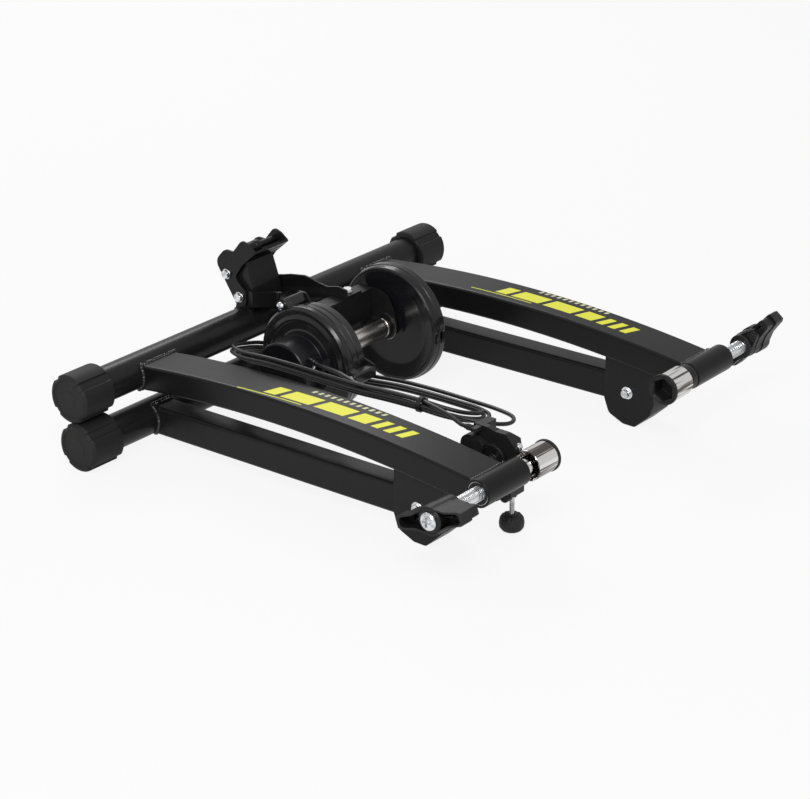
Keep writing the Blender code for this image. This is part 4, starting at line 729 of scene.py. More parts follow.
def makeRods():
    core, start, end = clamp["rodRadius"] - 0.35, clamp["rodStart"], clamp["rodEnd"]
    line = [(end, 0), (end, core, 0.5), (start, core, 0.5), (start, 5.0, 0.2), (111.4, 5.0, 0.4), (111.4, 0)]
    length = handle["start"] + 4 - start - 3
    values = {"Turns": length / clamp["threadPitch"], "Radius": core / 1000, "Length": length / 1000,
              "Ridge": clamp["ridge"] / 1000}
    for label, word, side in sides:
        place = turnToX(side * (start + 2), sleeve["y"], sleeve["z"], side)
        parts = [turned("axleRod" + word, line, axle, 64, 3, side),
                 grown("thread", threadTree, values, place, "zincPlate")]
        finishPiece(joined(parts), label + "_rod", "zincPlate", "clamp_rod_" + label, angle=60,
                    weighted=False)


def turnedOutline(points, tilt):
    turn = radians(180 - tilt)
    return [(sleeve["y"] + a * cos(turn) - b * sin(turn), sleeve["z"] + a * sin(turn) + b * cos(turn))
            for a, b in points]


def wings(inset, tilt, tipInset):
    # Outline of the two wings round the hub: a blocky grip at each end and a waist beside the hub.
    hub, end, near = handle["hub"] - inset, handle["reach"] - tipInset, handle["waistAt"]
    tip, waist = handle["tip"] - inset, handle["waist"] - inset
    right = softened([(near, -waist), (end - 3, -tip), (end, -tip + 1.6, 1.0), (end, tip - 1.6, 1.0),
                      (end - 3, tip), (near, waist)])
    left = [(-a, -b) for a, b in right]
    return turnedOutline(right + arc((0, 0), hub, 50, 130, 12) + left + arc((0, 0), hub, 230, 310, 12), tilt)


def makeHandles():
    start, end, screw, pocket = handle["start"], handle["end"], handle["screw"], handle["pocket"]
    low = end - handle["depth"]
    for label, word, side in sides:
        tilt = handle["tilt"][label]

        def layer(inset, tipInset, inner, outer):
            return plate("clampHandle" + word, wings(inset, tilt, tipInset), side * inner, side * outer)

        def bar(corners, inner, outer):
            return plate("bar", turnedOutline(corners, tilt), side * inner, side * outer)
        item = layer(0.0, 0.0, end - 12.5, end)
        steps = [layer(0.9, handle["step"], low, end - 12.0),
                 layer(1.6, handle["reach"] - handle["root"], end - handle["rootDepth"], low + 0.5)]
        item = combined(item, steps, "UNION")
        item = combined(item, [layer(handle["wall"], 3.4, end - pocket, end + 5)], "DIFFERENCE")
        windows = [bar(softened([(sign * 22, -2.6, 1.0), (sign * 29, -2.6, 1.0), (sign * 29, 2.6, 1.0),
                                 (sign * 22, 2.6, 1.0)], 3, True), low - 5, end + 5) for sign in (-1, 1)]
        item = combined(item, windows, "DIFFERENCE")
        hub = turned("hub", [(start, 0), (start, 12.2, 1.2), (low + 2, 12.4, 0.5), (end - 1.2, 12.4, 0.6),
                             (end - 0.2, 11.4, 0.6), (end - 0.2, 0)], axle, 64, 3, side)
        ribs = [bar(rectangle((sign * 10, -0.8), (sign * 21, 0.8)), end - pocket - 1, end - 8)
                for sign in (-1, 1)]
        bores = [rod(clamp["rodRadius"] + 0.3, side * (start - 5), side * (end - 7), axle, 64),
                 rod(2.9, side * start, side * (end + 5), axle, 32),
                 rod(screw + 0.3, side * (end - 0.9), side * (end + 5), axle, 64)]
        finishPiece(item, label + "_rod", "mouldedBlack", "clamp_handle_" + label, [hub] + ribs, bores,
                    0.7, 3)
        panScrew("handleScrew" + word, axle, side * (end - 0.8), side * 255.2, screw, 4.6, 2.6,
                 label + "_rod", "handle_screw_" + label)


# Gussets

gusset = dict(width=34.0, plate=2.3)


def makeGussets():
    y0, z0 = pivot
    rear, front, top, half = y0 + 28, y0 - 29, arm["height"] + 0.3, gusset["width"] / 2
    line = [(rear, archZ(rear, top)), (rear, 22.0)]
    line += softened([(rear, 19.0), (rear - 6.2, 7.4, 8.0), (y0 + 4.5, 0.15, 6.0), (y0 - 9.5, 0.15, 5.0),
                      (y0 - 26.5, 16.6, 8.0), (y0 - 31.0, 30.0, 6.0)], 6)[1:]
    line += [(y, archZ(y, top)) for y in (front + (rear - front) * index / 6 for index in range(6))]
    inner, bolt = half - gusset["plate"], alongX(*pivot)
    inside = [(front + 2.3, 100), (rear + 10, 100), (rear + 10, -10), (y0 + 4.5, -10), (y0 - 23.2, 17.2),
              (y0 - 28.7, 30.5)]
    for label, word, side in sides:
        middle, x = side * arm["x"], arm["x"]
        item = plate("pivotGusset" + word, line, middle - half, middle + half)
        item = combined(item, [plate("inside", inside, middle - inner, middle + inner)], "DIFFERENCE")
        finishPiece(item, "upper_frame", "powderBlack", "pivot_gusset_" + label,
                    cut=[rod(holes["pivot"], middle - half - 5, middle + half + 5, bolt)], width=0.6)
        hexBolt("pivotBolt" + word, bolt, side * (x + half + 0.2), side * (x - half - 6), 4.0, 5.2,
                "upper_frame", "pivot_bolt_" + label, (side * (x - half - 0.3), side * (x - half - 4.6)),
                1.27)


# Mount of the resistance unit: bracket, post, lever, swing arm

mount = dict(y=-2.0, z=105.0, near=-26.5, far=8.5, plate=2.2, postNear=-29.0, postFar=11.0, leverNear=-34.0,
             leverFar=16.0, boltY=14.7, boltZ=126.2)
mountMiddle, leverMiddle = (mount["y"], mount["z"]), (mount["boltY"], mount["boltZ"])
mountAxis, leverAxis, treadAxis = alongX(*mountMiddle), alongX(*leverMiddle), alongX(-8.5, 156.0)


def mountHoles():
    return [rod(holes["pivot"], -60, 60, mountAxis), rod(holes["bolt"], -60, 60, leverAxis)]


def folded(name, line, web, near, far):
    # Two equal sides of plate and the web that joins them.
    p, inset = mount["plate"], 0.6
    return plate(name, line, near, near + p), [plate("side", line, far - p, far),
                                               plate("web", web, near + inset, far - inset)]


def makeBracket():
    near, far, p, r = mount["near"], mount["far"], mount["plate"], tube["radius"]
    line = [(14.0, 79.0), (-15.5, 79.0), (-13.5, 92.0)] + arc(mountMiddle, 9.0, 180, 0, 14) + [(10.0, 92.0)]
    others = [plate("ear", line, far - p, far), block("bridge", (near + 1, -10.0, 91.2),
                                                      (far - 1, 6.0, 93.4))]
    cuts = [rod(r - 0.4, -60, 60, alongX(*tube["upper"]), 96), rod(holes["pivot"], -60, 60, mountAxis)]
    finishPiece(plate("unitBracket", line, near, near + p), "upper_frame", "powderBlack", "unit_bracket",
                others, cuts, 0.6)
    y, z = tube["upper"]
    for index, x in enumerate((near + 1.1, far - 1.1)):
        turns = [radians(a) for a in range(-44, 45, 4)]
        beads = [at(x, y + (r + 0.4) * sin(turn), z + (r + 0.4) * cos(turn)) for turn in turns]
        beads += [point + Vector((0.0012, 0, 0.0004)) for point in reversed(beads)]
        weldBead("weldEar%d" % index, beads, weld["ear"], "upper_frame")


def makePost():
    line = softened([(-18.2, 102.5), (-16.0, 116.5, 6.0), (-6.8, 142.2, 0.8), (2.0, 143.2, 6.0),
                     (12.0, 133.0)], 5)
    line += arc(leverMiddle, 6.2, 80, -34, 10) + arc(mountMiddle, 7.8, -34, -150, 14)
    face = [(-18.2, 102.5), (-16.0, 116.5), (-6.8, 142.2), (-4.6, 141.5), (-13.8, 115.8), (-15.9, 102.3)]
    item, others = folded("unitPost", line, face, mount["postNear"], mount["postFar"])
    finishPiece(item, "resistance_unit", "powderBlack", "unit_post", others, mountHoles(), 0.9, 3)


leverCorners = ((0.5, 93.4, 1.5), (30.4, 137.2, 11.0), (17.0, 152.2, 10.0), (5.5, 151.8, 3.0),
                (-7.0, 167.2, 9.0), (-16.5, 164.0, 4.0), (-25.8, 157.2, 2.0), (-7.6, 141.1, 3.0),
                (4.2, 124.7, 7.0), (-10.5, 112.0, 6.0), (-11.0, 97.5, 7.0))
leverWeb = [(-25.4, 156.8), (-20.6, 152.6), (-19.6, 153.7), (-17.2, 151.6), (-18.2, 150.5), (-13.4, 146.3),
            (-12.4, 147.4), (-10.0, 145.3), (-11.0, 144.2), (-8.2, 141.8), (-6.6, 143.5), (-23.8, 158.5)]


def makeLever():
    near, far = mount["leverNear"], mount["leverFar"]
    item, others = folded("footLever", softened(leverCorners, 7, True), leverWeb, near, far)
    item = combined(item, others, "UNION")
    tread = [(-30.5, 0), (-30.5, 6.6, 1.4), (-20.5, 6.6, 0.4), (-19.8, 5.9, 0.3), (-19.0, 5.9, 0.3),
             (-18.3, 6.6, 0.4), (-11.5, 6.6, 1.4), (-11.5, 0)]
    tubes = [rod(3.8, near + 1, far - 1, treadAxis, 40), turned("tread", tread, treadAxis, 40, 3),
             rod(5.8, near + 1, near + 4.7, leverAxis, 40), rod(5.8, far - 4.7, far - 1, leverAxis, 40)]
    finishPiece(item, "resistance_unit", "powderBlack", "foot_lever", tubes, mountHoles(), 0.7)
    hexBolt("leverBolt", leverAxis, near - 0.2, far + 3.2, 3.0, 5.0, "resistance_unit", "lever_bolt",
            (far + 0.2, far + 3.2))
    hexBolt("swingBolt", mountAxis, near - 0.2, 23.2, 4.0, 5.2, "upper_frame", "swing_bolt", (20.3, 23.2))


swing = dict(near=-31.5, far=20.0, foot=111.3, boltX=30.0, boltY=-91.0)
footAxis = alongZ(swing["boltX"], swing["boltY"])


def makeSwingArm():
    p, near, far, foot = mount["plate"], swing["near"], swing["far"], swing["foot"]
    wall = arc(mountMiddle, 9.0, 95, -110, 16)
    wall += softened([(-20.0, 96.8), (-39.2, 97.8, 8.0), (-73.3, 106.4, 6.0), (-82.0, foot, 2.0),
                      (-100.0, foot, 0.5), (-100.0, 120.5, 1.5), (-89.0, 122.0, 3.0), (-74.8, 118.4, 5.0),
                      (-64.0, 119.6, 5.0), (-50.7, 122.2, 6.0), (-43.5, 122.9, 4.0), (-23.8, 119.5, 5.0),
                      (-13.9, 116.6)], 4)[1:]
    ear = arc(mountMiddle, 9.0, 90, -90, 16) + [(-16.8, 96.5), (-16.8, 113.0)]
    bend = near + 16.4
    lip = [(near, -16.0), (near, -17.8), (bend, -34.2), (bend, -38.5), (bend + p, -38.5), (bend + p, -33.3),
           (near + p, -16.9), (near + p, -16.0)]
    tray = [(near + 0.5, -18.0), (bend + 0.5, -34.4), (bend + 0.5, -38.3), (far - 1.0, -38.3),
            (far - 1.0, -19.0), (near + 4.0, -19.0)]
    others = [plate("ear", ear, near, near + p), plate("lip", lip, 96.5, 112.5, alongZ(0, 0)),
              plate("tray", tray, 98.5, 100.7, alongZ(0, 0)),
              block("foot", (far - p + 0.4, -99.8, foot), (swing["boltX"] + 12.0, -82.0, foot + p))]
    cuts = [rod(holes["pivot"], -60, 60, mountAxis), rod(holes["bolt"], 100, 130, footAxis)]
    finishPiece(plate("swingArm", wall, far - p, far), "resistance_unit", "powderBlack", "swing_arm", others,
                cuts, 0.8, 3)


unit = dict(y=-117.0, z=74.0, yokeNear=-36.7, yokeFar=60.5, yokeTop=111.0, yokeFront=-100.0, bearing=12.0,
            lugReach=60.6, lugs=dict(upper=61.5, lower=181.0))
unitMiddle = (unit["y"], unit["z"])
unitAxis = alongX(*unitMiddle)


def unitPlace(angle, reach):
    turn = radians(angle)
    return unit["y"] + reach * cos(turn), unit["z"] + reach * sin(turn)


lugPlaces = {label: unitPlace(angle, unit["lugReach"]) for label, angle in unit["lugs"].items()}


def lugHoles(low):
    return [rod(holes["screw"], low, 0, alongX(*place)) for place in lugPlaces.values()]


def makeYoke():
    near, far, top, front = (unit["yoke" + end] for end in ("Near", "Far", "Top", "Front"))
    p, back, reach, (y0, z0) = mount["plate"], front + 18, unit["bearing"] + 1.7, unitMiddle
    upper, under = lugPlaces.values()
    nearLeg = softened([(upper[0] + 6, upper[1] + 6, 4), (upper[0] - 6, upper[1] + 6, 4), (y0 - 4, 96, 3),
                        (under[0] - 5, under[1] + 7, 3), (under[0] - 5, under[1] - 7, 4),
                        (y0 - 18, z0 - 18, 10), (y0 + 18, z0 - 14, 8), (back, 85, 3)], 4, True)
    farLeg = softened([(back, top), (front - 9, top, 2.0), (front - 18.0, 107.0, 5.0),
                       (front - 26.5, 94.0, 6.0), (y0 - reach, z0 + 6)], 4) + arc(unitMiddle, reach, 180, 360,
                                                                                  16) + [(back, z0 + 16)]
    item = block("rollerYoke", (near + 0.5, front, 80.0), (far - 0.5, front + p, top - 0.5))
    others = [block("top", (near, front, top - p), (far, back, top)),
              plate("nearLeg", nearLeg, near, near + p), plate("farLeg", farLeg, far - p, far)]
    cuts = [rod(unit["bearing"] + 0.3, -100, 100, unitAxis, 64), rod(holes["bolt"], 100, 130, footAxis)]
    finishPiece(item, "resistance_unit", "powderBlack", "roller_yoke", others, cuts + lugHoles(-60), 1.0, 4)
    hexBolt("yokeBolt", footAxis, swing["foot"] + p + 0.2, 105.6, 3.0, 5.0, "resistance_unit", "yoke_bolt",
            (top - p - 0.3, 105.7))


# Magnet housing with its boss, and what turns

drum = dict(face=-66.0, back=-37.0, front=57.5, rear=54.0, wall=2.4, boss=-99.0, bossRadius=31.0,
            bossWall=2.5, ports=((67, 2.1, 50.0), (30, 3.6, 49.0), (22, 3.2, 49.4)),
            slots=((95, 132), (-60, -20)))


def lugShapes(angle, place):
    # A lug, and the ear that runs from it into the rim on both sides.
    face, r, turn, middle = drum["face"], drum["front"], radians(angle), Vector(place)
    outward = Vector((cos(turn), sin(turn)))
    across = Vector((-outward.y, outward.x))

    def spots(pairs):
        return [tuple(middle + outward * a + across * b) for a, b in pairs]
    ear = arc(unitMiddle, r - 2.0, angle - 20, angle - 9, 3)
    ear += spots(((1.0, -6.4), (5.4, -4.0), (6.2, 0.0), (5.4, 4.0), (1.0, 6.4)))
    ear += arc(unitMiddle, r - 2.0, angle + 9, angle + 20, 3)
    ear += arc(unitMiddle, r - 8.0, angle + 16, angle - 16, 5)
    return [plate("lug", spots(roundedBox(5.6, 6.0, 2.4, 4)), face + 1.0, drum["back"] - 0.3),
            plate("ear", ear, face + 0.9, face + 9.0)]


def makeHousing():
    face, back, r, w, rear = drum["face"], drum["back"], drum["front"], drum["wall"], drum["rear"]
    line = [(back, rear, 0.5), (face + 20.0, 55.2, 0.3), (face + 19.4, 54.4, 0.3), (face + 18.0, 54.4, 0.3),
            (face + 17.0, 55.8, 0.3), (face + 10.4, 56.9, 0.4), (face + 9.8, 56.0, 0.3),
            (face + 8.4, 56.0, 0.3), (face + 7.8, r, 0.6), (face + 3.0, r, 2.2), (face, r - 2.8, 1.2),
            (face, r - 4.2, 0.5), (face + 1.7, r - 5.2, 0.6), (face + 1.5, 49.5, 3.0),
            (face + 0.1, 45.4, 2.0), (face + 0.1, 43.2, 0.6), (face + 1.3, 42.2, 0.5),
            (face + 0.9, 35.0, 1.5), (face + 0.1, 33.4, 0.6), (face + 0.1, 6.4, 0.3), (face + w, 6.4, 0.3),
            (face + w, r - w - 3.2, 1.0), (face + 8.0, r - w - 1.5, 0.5), (back, rear - w, 0.3)]
    lugs = [shape for label, angle in unit["lugs"].items() for shape in lugShapes(angle, lugPlaces[label])]
    cuts = lugHoles(-100)
    for angle, radius, reach in drum["ports"]:
        cuts.append(rod(radius, face - 3, face + 2.2, alongX(*unitPlace(angle, reach)), 40))
    for start, end in drum["slots"]:
        outline = arc(unitMiddle, 39.4, start, end, 14) + arc(unitMiddle, 38.2, end, start, 14)
        cuts.append(plate("slot", outline, face - 3, face + 1.8))
    finishPiece(ring("magnetHousing", line, unitAxis, 192, 4), "resistance_unit", "glossHousing",
                "magnet_housing", lugs, cuts, 0.3, angle=38)
    for label, place in lugPlaces.items():
        panScrew("housingScrew" + label.capitalize(), alongX(*place), face + 0.1, -34.6, 4.2, 3.2, 2.0,
                 "resistance_unit", "housing_screw_" + label)


gland = dict(start=(-85.0, -140.0, 90.0), end=(-89.0, -153.0, 91.0), radius=3.6)


def makeBoss():
    r, w, boss, barrel = drum["bossRadius"], drum["bossWall"], drum["boss"], gland["radius"]
    end = drum["face"] - 0.2
    line = [(boss + w, 0), (boss + w, r - w, 0.5), (end, r - w, 0.3), (end, r, 0.3), (end - 4.5, r, 0.2),
            (end - 5.0, r - 0.5, 0.2), (end - 5.5, r, 0.2), (boss + 1.5, r, 0.7), (boss + 0.4, r - 1.0, 0.4),
            (boss, r - 2.2, 0.4), (boss, 0)]
    others = [block("glandBlock", (-90.0, -149.0, 84.5), (-79.0, -137.0, 93.5)),
              turned("barrel", [(0, 0), (0, barrel, 0.4), (9.4, barrel, 0.4), (9.4, 3.0, 0.2),
                                (13.4, 2.9, 0.4), (13.4, 0)], between(gland["start"], gland["end"]), 40, 3),
              block("bridge", (-78.0, -152.0, 78.0), (-67.0, -143.0, 88.0))]
    finishPiece(turned("cableBoss", line, unitAxis, 128, 4), "resistance_unit", "bossBlack", "cable_boss",
                others, [rod(r - w / 2, boss + w, -40, unitAxis, 96)], 0.35, angle=38)
    panScrew("glandScrew", between((-87.0, -147.5, 86.0), (-92.0, -149.5, 86.8)), 0.2, -3.0, 2.6, 2.2, 1.2,
             "resistance_unit")


flywheel = dict(front=63.0, ribs=150, ribRadius=0.0612, ribSize=(0.0014, 0.0011, 0.0075), ribX=74.4)


def balanceStep(height, radius, turn):
    # A shallow step cast in the rim, where it was balanced.
    return -1.3 if radius >= 60.5 and 176 < degrees(turn) % 360 < 186 else 0


def sixFlats(height, radius, turn):
    return radius * (0.9 / wedge(turn) - 1) if radius > 7 else 0


def makeRotor():
    line = [(81.2, 0), (81.2, 4.6, 0.2), (80.2, 5.0, 0.2), (56.2, 5.0), (56.2, 10.5, 0.9), (51.6, 10.5, 0.2),
            (51.1, 10.0, 0.2), (50.2, 10.0, 0.2), (49.7, 10.5, 0.2), (-30.3, 10.5, 0.9), (-30.3, 5.0),
            (-52.0, 5.0, 0.3), (-52.0, 0)]
    item = turned("tyreRoller", line, unitAxis, 96, 3)
    finishPiece(item, "roller_group", "rollerSteel", "roller", angle=38)
    bands = [ring("rollerBand", [(low, 9.0), (low, 10.75, 0.3), (high, 10.75, 0.3), (high, 9.0)], unitAxis)
             for low, high in ((52.2, 53.6), (47.2, 48.4))]
    finishPiece(joined(bands), "roller_group", "mouldedBlack")
    front = flywheel["front"]
    line = [(79.0, 61.8, 1.2), (front + 8.0, 61.9, 0.3), (front + 7.4, 61.2, 0.2), (front + 5.0, 61.0, 0.2),
            (front + 1.0, 60.1, 0.8), (front, 58.4, 0.5), (front, 57.2, 0.5), (front + 1.2, 56.2, 1.0),
            (front + 5.0, 42.0, 24.0), (front + 4.2, 16.0, 6.0), (66.4, 12.5, 1.2), (66.4, 5.3, 0.2),
            (74.0, 5.3, 0.2), (74.0, 50.0, 1.5), (79.0, 56.6, 0.8)]
    item = ring("flywheelRim", line, unitAxis, 216, 5, lobes=balanceStep)
    finishPiece(item, "roller_group", "flywheelEnamel", "flywheel", angle=34)
    values = {"Count": flywheel["ribs"], "Radius": flywheel["ribRadius"], "Rib Size": flywheel["ribSize"]}
    item = grown("flywheelRibs", ribTree, values, turnToX(flywheel["ribX"], *unitMiddle), "flywheelEnamel")
    finishPiece(item, "roller_group", "flywheelEnamel", angle=30, weighted=False)
    item = ring("flywheelNut", [(74.2, 5.2), (74.2, 8.8, 0.4), (80.2, 8.8, 0.6), (80.2, 5.2, 0.3)], unitAxis,
                48, lobes=sixFlats)
    finishPiece(item, "roller_group", "zincPlate", "flywheel_nut", angle=30)
    item = ring("rollerShimFar", [(57.9, 13.6, 0.1), (57.9, 14.4, 0.2), (58.3, 14.4, 0.1), (58.3, 13.6, 0.1)],
                unitAxis, soft=2)
    finishPiece(item, "resistance_unit", "rollerSteel", angle=38)
    near, far = unit["yokeNear"], unit["yokeFar"]
    for label, word, sign, low, face, high, finish in (
            ("near", "Near", 1, near - 2.0, near + 2.4, -30.8, "zincPlate"),
            ("far", "Far", -1, far + 2.0, far - 2.4, 56.7, "mouldedBlack")):
        step = high - sign * 0.7
        line = [(low, 5.4, 0.2), (low, 12.0, 0.8), (face, 12.0, 0.1), (face, 14.0, 0.3), (high, 14.0, 0.8),
                (high, 11.6, 0.3), (step, 11.0, 0.2), (step, 7.4, 0.2), (high, 7.0, 0.2), (high, 5.4, 0.2)]
        item = ring("rollerBearing" + word, line, unitAxis)
        finishPiece(item, "resistance_unit", finish, "bearing_" + label, angle=38)


# Remote for the handlebar

remote = dict(near=-118.0, far=-98.0, drumY=-392.0, drumZ=73.5, drum=14.5, barY=-388.0, barZ=52.0, bar=11.2,
              screwY=-405.5, backY=-417.1)
drumAxis = alongX(remote["drumY"], remote["drumZ"])
screwAxis = alongZ(remote["near"] + 10, remote["screwY"])


def makeRemoteBody():
    near, far, backY, barY, barZ = (remote[key] for key in ("near", "far", "backY", "barY", "barZ"))
    line = softened([(-368.0, 97.0), (-368.0, 101.5, 3.0), (-384.0, 101.5, 4.0), (-392.0, 99.6, 6.0),
                     (-404.5, 100.0, 5.0), (backY, 88.0, 4.0), (backY, 66.0, 4.0), (-413.0, barZ)], 5)
    line += arc((barY, barZ), remote["bar"], 180, 0, 18)
    line += [(-371.5, barZ), (-371.5, 60.0), (-373.0, 62.6), (-377.0, 70.0), (-372.0, 84.0), (-368.0, 92.0)]
    others = [block("cableLug", (near - 9.5, -378.0, 97.2), (near + 4.0, -372.3, 101.0)),
              turned("drumSeat", [(near + 1, 0), (near + 1, 15.4, 0.3), (far + 1.4, 15.4, 0.9),
                                  (far + 1.4, 13.4, 0.3), (far + 0.9, 13.0, 0.2), (far + 0.9, 0)], drumAxis,
                     72, 3)]
    slope = [(near + 5.5, 104.0), (near + 5.5, 101.6), (far - 4.0, 92.2), (far + 2, 88.0), (far + 2, 104.0)]
    shoulder = [(far + 2, -405.5), (far - 4.5, -409.5), (near + 8.0, -417.3), (near + 8.0, -425.0),
                (far + 2, -425.0)]
    cuts = [rod(holes["clamp"], barZ - 10, barZ + 18, screwAxis), rod(holes["screw"], -140, -80, drumAxis),
            plate("slope", slope, -425.0, -378.6, lambda y, x, z: at(x, y, z)),
            plate("shoulder", shoulder, 58.0, 104.0, alongZ(0, 0))]
    finishPiece(plate("remoteBody", line, near, far), "upper_frame", "mouldedBlack", "remote_body", others,
                cuts, 1.5, 3)


def makeRemoteLever():
    front, drumR = remote["near"] - 0.3, remote["drum"]
    back = front - 4.0
    line = [(front, 0), (front, drumR, 0.4), (back, drumR, 0.9), (back, 12.2, 0.3), (back + 0.6, 11.6, 0.3),
            (back + 0.6, 5.6, 0.3), (back, 5.0, 0.3), (back, 0)]
    finger = [(-385.0, 86.5)] + arc((-370.2, 81.8), 11.0, 115, -100, 22) + [(-382.0, 66.5)]
    finishPiece(turned("remoteDrum", line, drumAxis, 72, 3), "remote_drum", "mouldedBlack", "remote_lever",
                [plate("finger", finger, back - 3.6, front)], [rod(holes["screw"], -140, -100, drumAxis)],
                1.2, 3)
    values = {"Count": 7, "Pitch": 0.0024, "Rib Size": (0.0011, 0.0150, 0.0012)}
    place = Matrix.Translation(at(back - 3.7, -377.0, 82.0))
    place = place @ Matrix.Rotation(pi / 2, 4, "Z") @ Matrix.Rotation(pi / 2, 4, "X")
    item = grown("fingerRibs", rowTree, values, place, "mouldedBlack")
    finishPiece(item, "remote_drum", "mouldedBlack", width=0.25)
    panScrew("remotePivotScrew", drumAxis, back - 0.1, remote["far"] + 6.0, 4.2, 2.4, 2.0, "upper_frame",
             "remote_pivot_screw", "mouldedBlack")
    x = remote["near"] + 6
    item = turned("remoteNut", [(0, 0), (0, 3.0, 0.2), (6.2, 3.0, 0.9), (6.6, 0)],
                  between((x, -412.5, 86.3), (x, -415.7, 89.7)), 40, 3)
    finishPiece(item, "upper_frame", "zincPlate", angle=40)


def scallops(height, radius, turn):
    wave = 0.5 + 0.5 * cos(12 * turn)
    if height > 12.0 and 4.5 < radius < 10.8:
        return -1.1 * wave ** 1.5
    return 0 if radius < 8.5 else -0.10 * wave ** 2


def knurl(height, radius, turn):
    return 0.16 * cos(18 * turn) if radius > 2.6 and height < 7.6 else 0


thread = dict(length=44, pitch=0.8, radius=0.00205, ridge=0.00034, low=16.5)
adjuster = dict(start=(-124.0, -372.0, 99.0), end=(-124.0, -363.0, 99.0))


def makeRemoteClamp():
    near, far, y, jawZ = remote["near"], remote["far"], remote["barY"], remote["barZ"] - 7.8
    jaw = softened([(-411.5, jawZ - 6.0), (-411.5, jawZ)], 2)
    jaw += arc((y, jawZ), remote["bar"], 180, 355, 20) + arc((y, jawZ), remote["bar"] + 4.3, 355, 215, 16)
    knuckle = turned("knuckle", [(near + 0.5, 0), (near + 0.5, 5.0, 1.4), (far - 4.0, 5.0, 1.4),
                                 (far - 4.0, 0)],
                     alongX(-402.5, jawZ - 8.4), 40, 3)
    finishPiece(plate("remoteJaw", jaw, near, far), "remote_jaw", "mouldedBlack", "remote_clamp", [knuckle],
                [rod(holes["clamp"], 20, 60, screwAxis)], 0.8)
    values = {"Turns": thread["length"] / thread["pitch"], "Radius": thread["radius"],
              "Length": thread["length"] / 1000, "Ridge": thread["ridge"]}
    place = Matrix.Translation(at(near + 10, remote["screwY"], thread["low"]))
    parts = [turned("remoteScrew", [(61.0, 0), (61.0, 1.9, 0.3), (10.1, 1.9), (10.1, 0)], screwAxis, 40, 2),
             grown("screwThread", threadTree, values, place, "zincPlate")]
    finishPiece(joined(parts), "remote_screw", "zincPlate", "remote_clamp_screw", angle=60, weighted=False)
    line = [(18.1, 2.8), (18.1, 5.6, 0.6), (17.0, 6.6, 0.5), (16.2, 9.4, 0.8), (13.2, 11.2, 2.0),
            (9.2, 11.9, 3.0), (4.8, 11.4, 2.5), (1.9, 9.2, 1.5), (0.7, 6.2, 1.0), (0.6, 0)]
    item = turned("remoteKnob", line, screwAxis, 128, 4, lobes=scallops)
    finishPiece(item, "remote_screw", "knobBlack", "remote_clamp_knob", angle=60, weighted=False)
    line = [(0, 0), (0, 2.9, 0.3), (6.4, 2.9, 0.4), (6.4, 2.5, 0.2), (9.0, 2.4, 0.3), (9.0, 0)]
    item = turned("cableAdjuster", line, between(adjuster["start"], adjuster["end"]), 144, 3, lobes=knurl)
    finishPiece(item, "upper_frame", "mouldedBlack", "cable_adjuster", angle=60)


# Cable, on the same route as the solids

hankRoute = (
    (-122, -236, 99.5), (-116, -268, 99), (-111, -301, 98), (-105, -322, 95), (-94, -338, 91),
    (-77, -346, 87), (-61, -339, 84), (-52, -322, 81), (-48, -298, 78.5), (-42, -258, 74), (-32, -209, 65.5),
    (-24.5, -160, 55.5), (-21, -117, 49), (-18, -88, 50), (-27, -62, 58), (-48, -46, 67), (-72, -45, 74),
    (-96, -55, 83), (-116, -75, 92), (-130, -102, 99), (-133.5, -134, 103.5), (-132, -170, 104),
    (-128, -204, 102))
foldShare = (0, 0, 0, 0.1, 0.65, 1, 1, 0.75, 0.25) + (0,) * 14
cable = dict(radius=2.0, loops=4, pitch=4.9, longLoop=26.0, endIndex=2, samples=6, startTurn=144.0,
             unitLead=((-97.5, -172, 95), (-108.5, -200, 100.5)), remoteLead=((-118.0, -335.0, 102.0),))
strands = cable["loops"] + 1
hankRadius = cable["pitch"] / (2 * sin(pi / strands))


def smoothLine(points, steps):
    # Places on the smooth curve from the second point to the last but one.
    line = []
    spans = len(points) - 3
    for step in range(steps + 1):
        along = spans * step / steps
        index = min(int(along), spans - 1)
        t = along - index
        a, b, c, d = points[index:index + 4]
        line.append(0.5 * (2 * b + (c - a) * t + (2 * a - 5 * b + 4 * c - d) * t ** 2
                           + (3 * b - a - 3 * c + d) * t ** 3))
    return line


def hankLine():
    count, samples = len(hankRoute), cable["samples"]
    middle = []
    for index in range(-2, cable["loops"] * count + cable["endIndex"] + 3):
        x, y, z = hankRoute[index % count]
        if index // count == cable["loops"] - 1:
            y -= cable["longLoop"] * foldShare[index % count]
        middle.append(Vector((x, y, z)))
    route = smoothLine(middle, (len(middle) - 3) * samples)
    line = []
    for index, here in enumerate(route):
        along = (route[min(index + 1, len(route) - 1)] - route[max(index - 1, 0)]).normalized()
        aside = along.cross(Vector((0, 0, 1))).normalized()
        above = aside.cross(along)
        turn = 2 * pi / strands * (index / samples - 1) / count + radians(cable["startTurn"])
        line.append(here + aside * hankRadius * cos(turn) + above * hankRadius * sin(turn))
    return line[samples:-samples]


def leadLine(start, startWay, middle, end, endWay, steps):
    run = 2 * cable["radius"]
    points = [start, start + startWay * run] + [Vector(point) for point in middle] + [end - endWay * run, end]
    return [start] + smoothLine(points, steps) + [end]


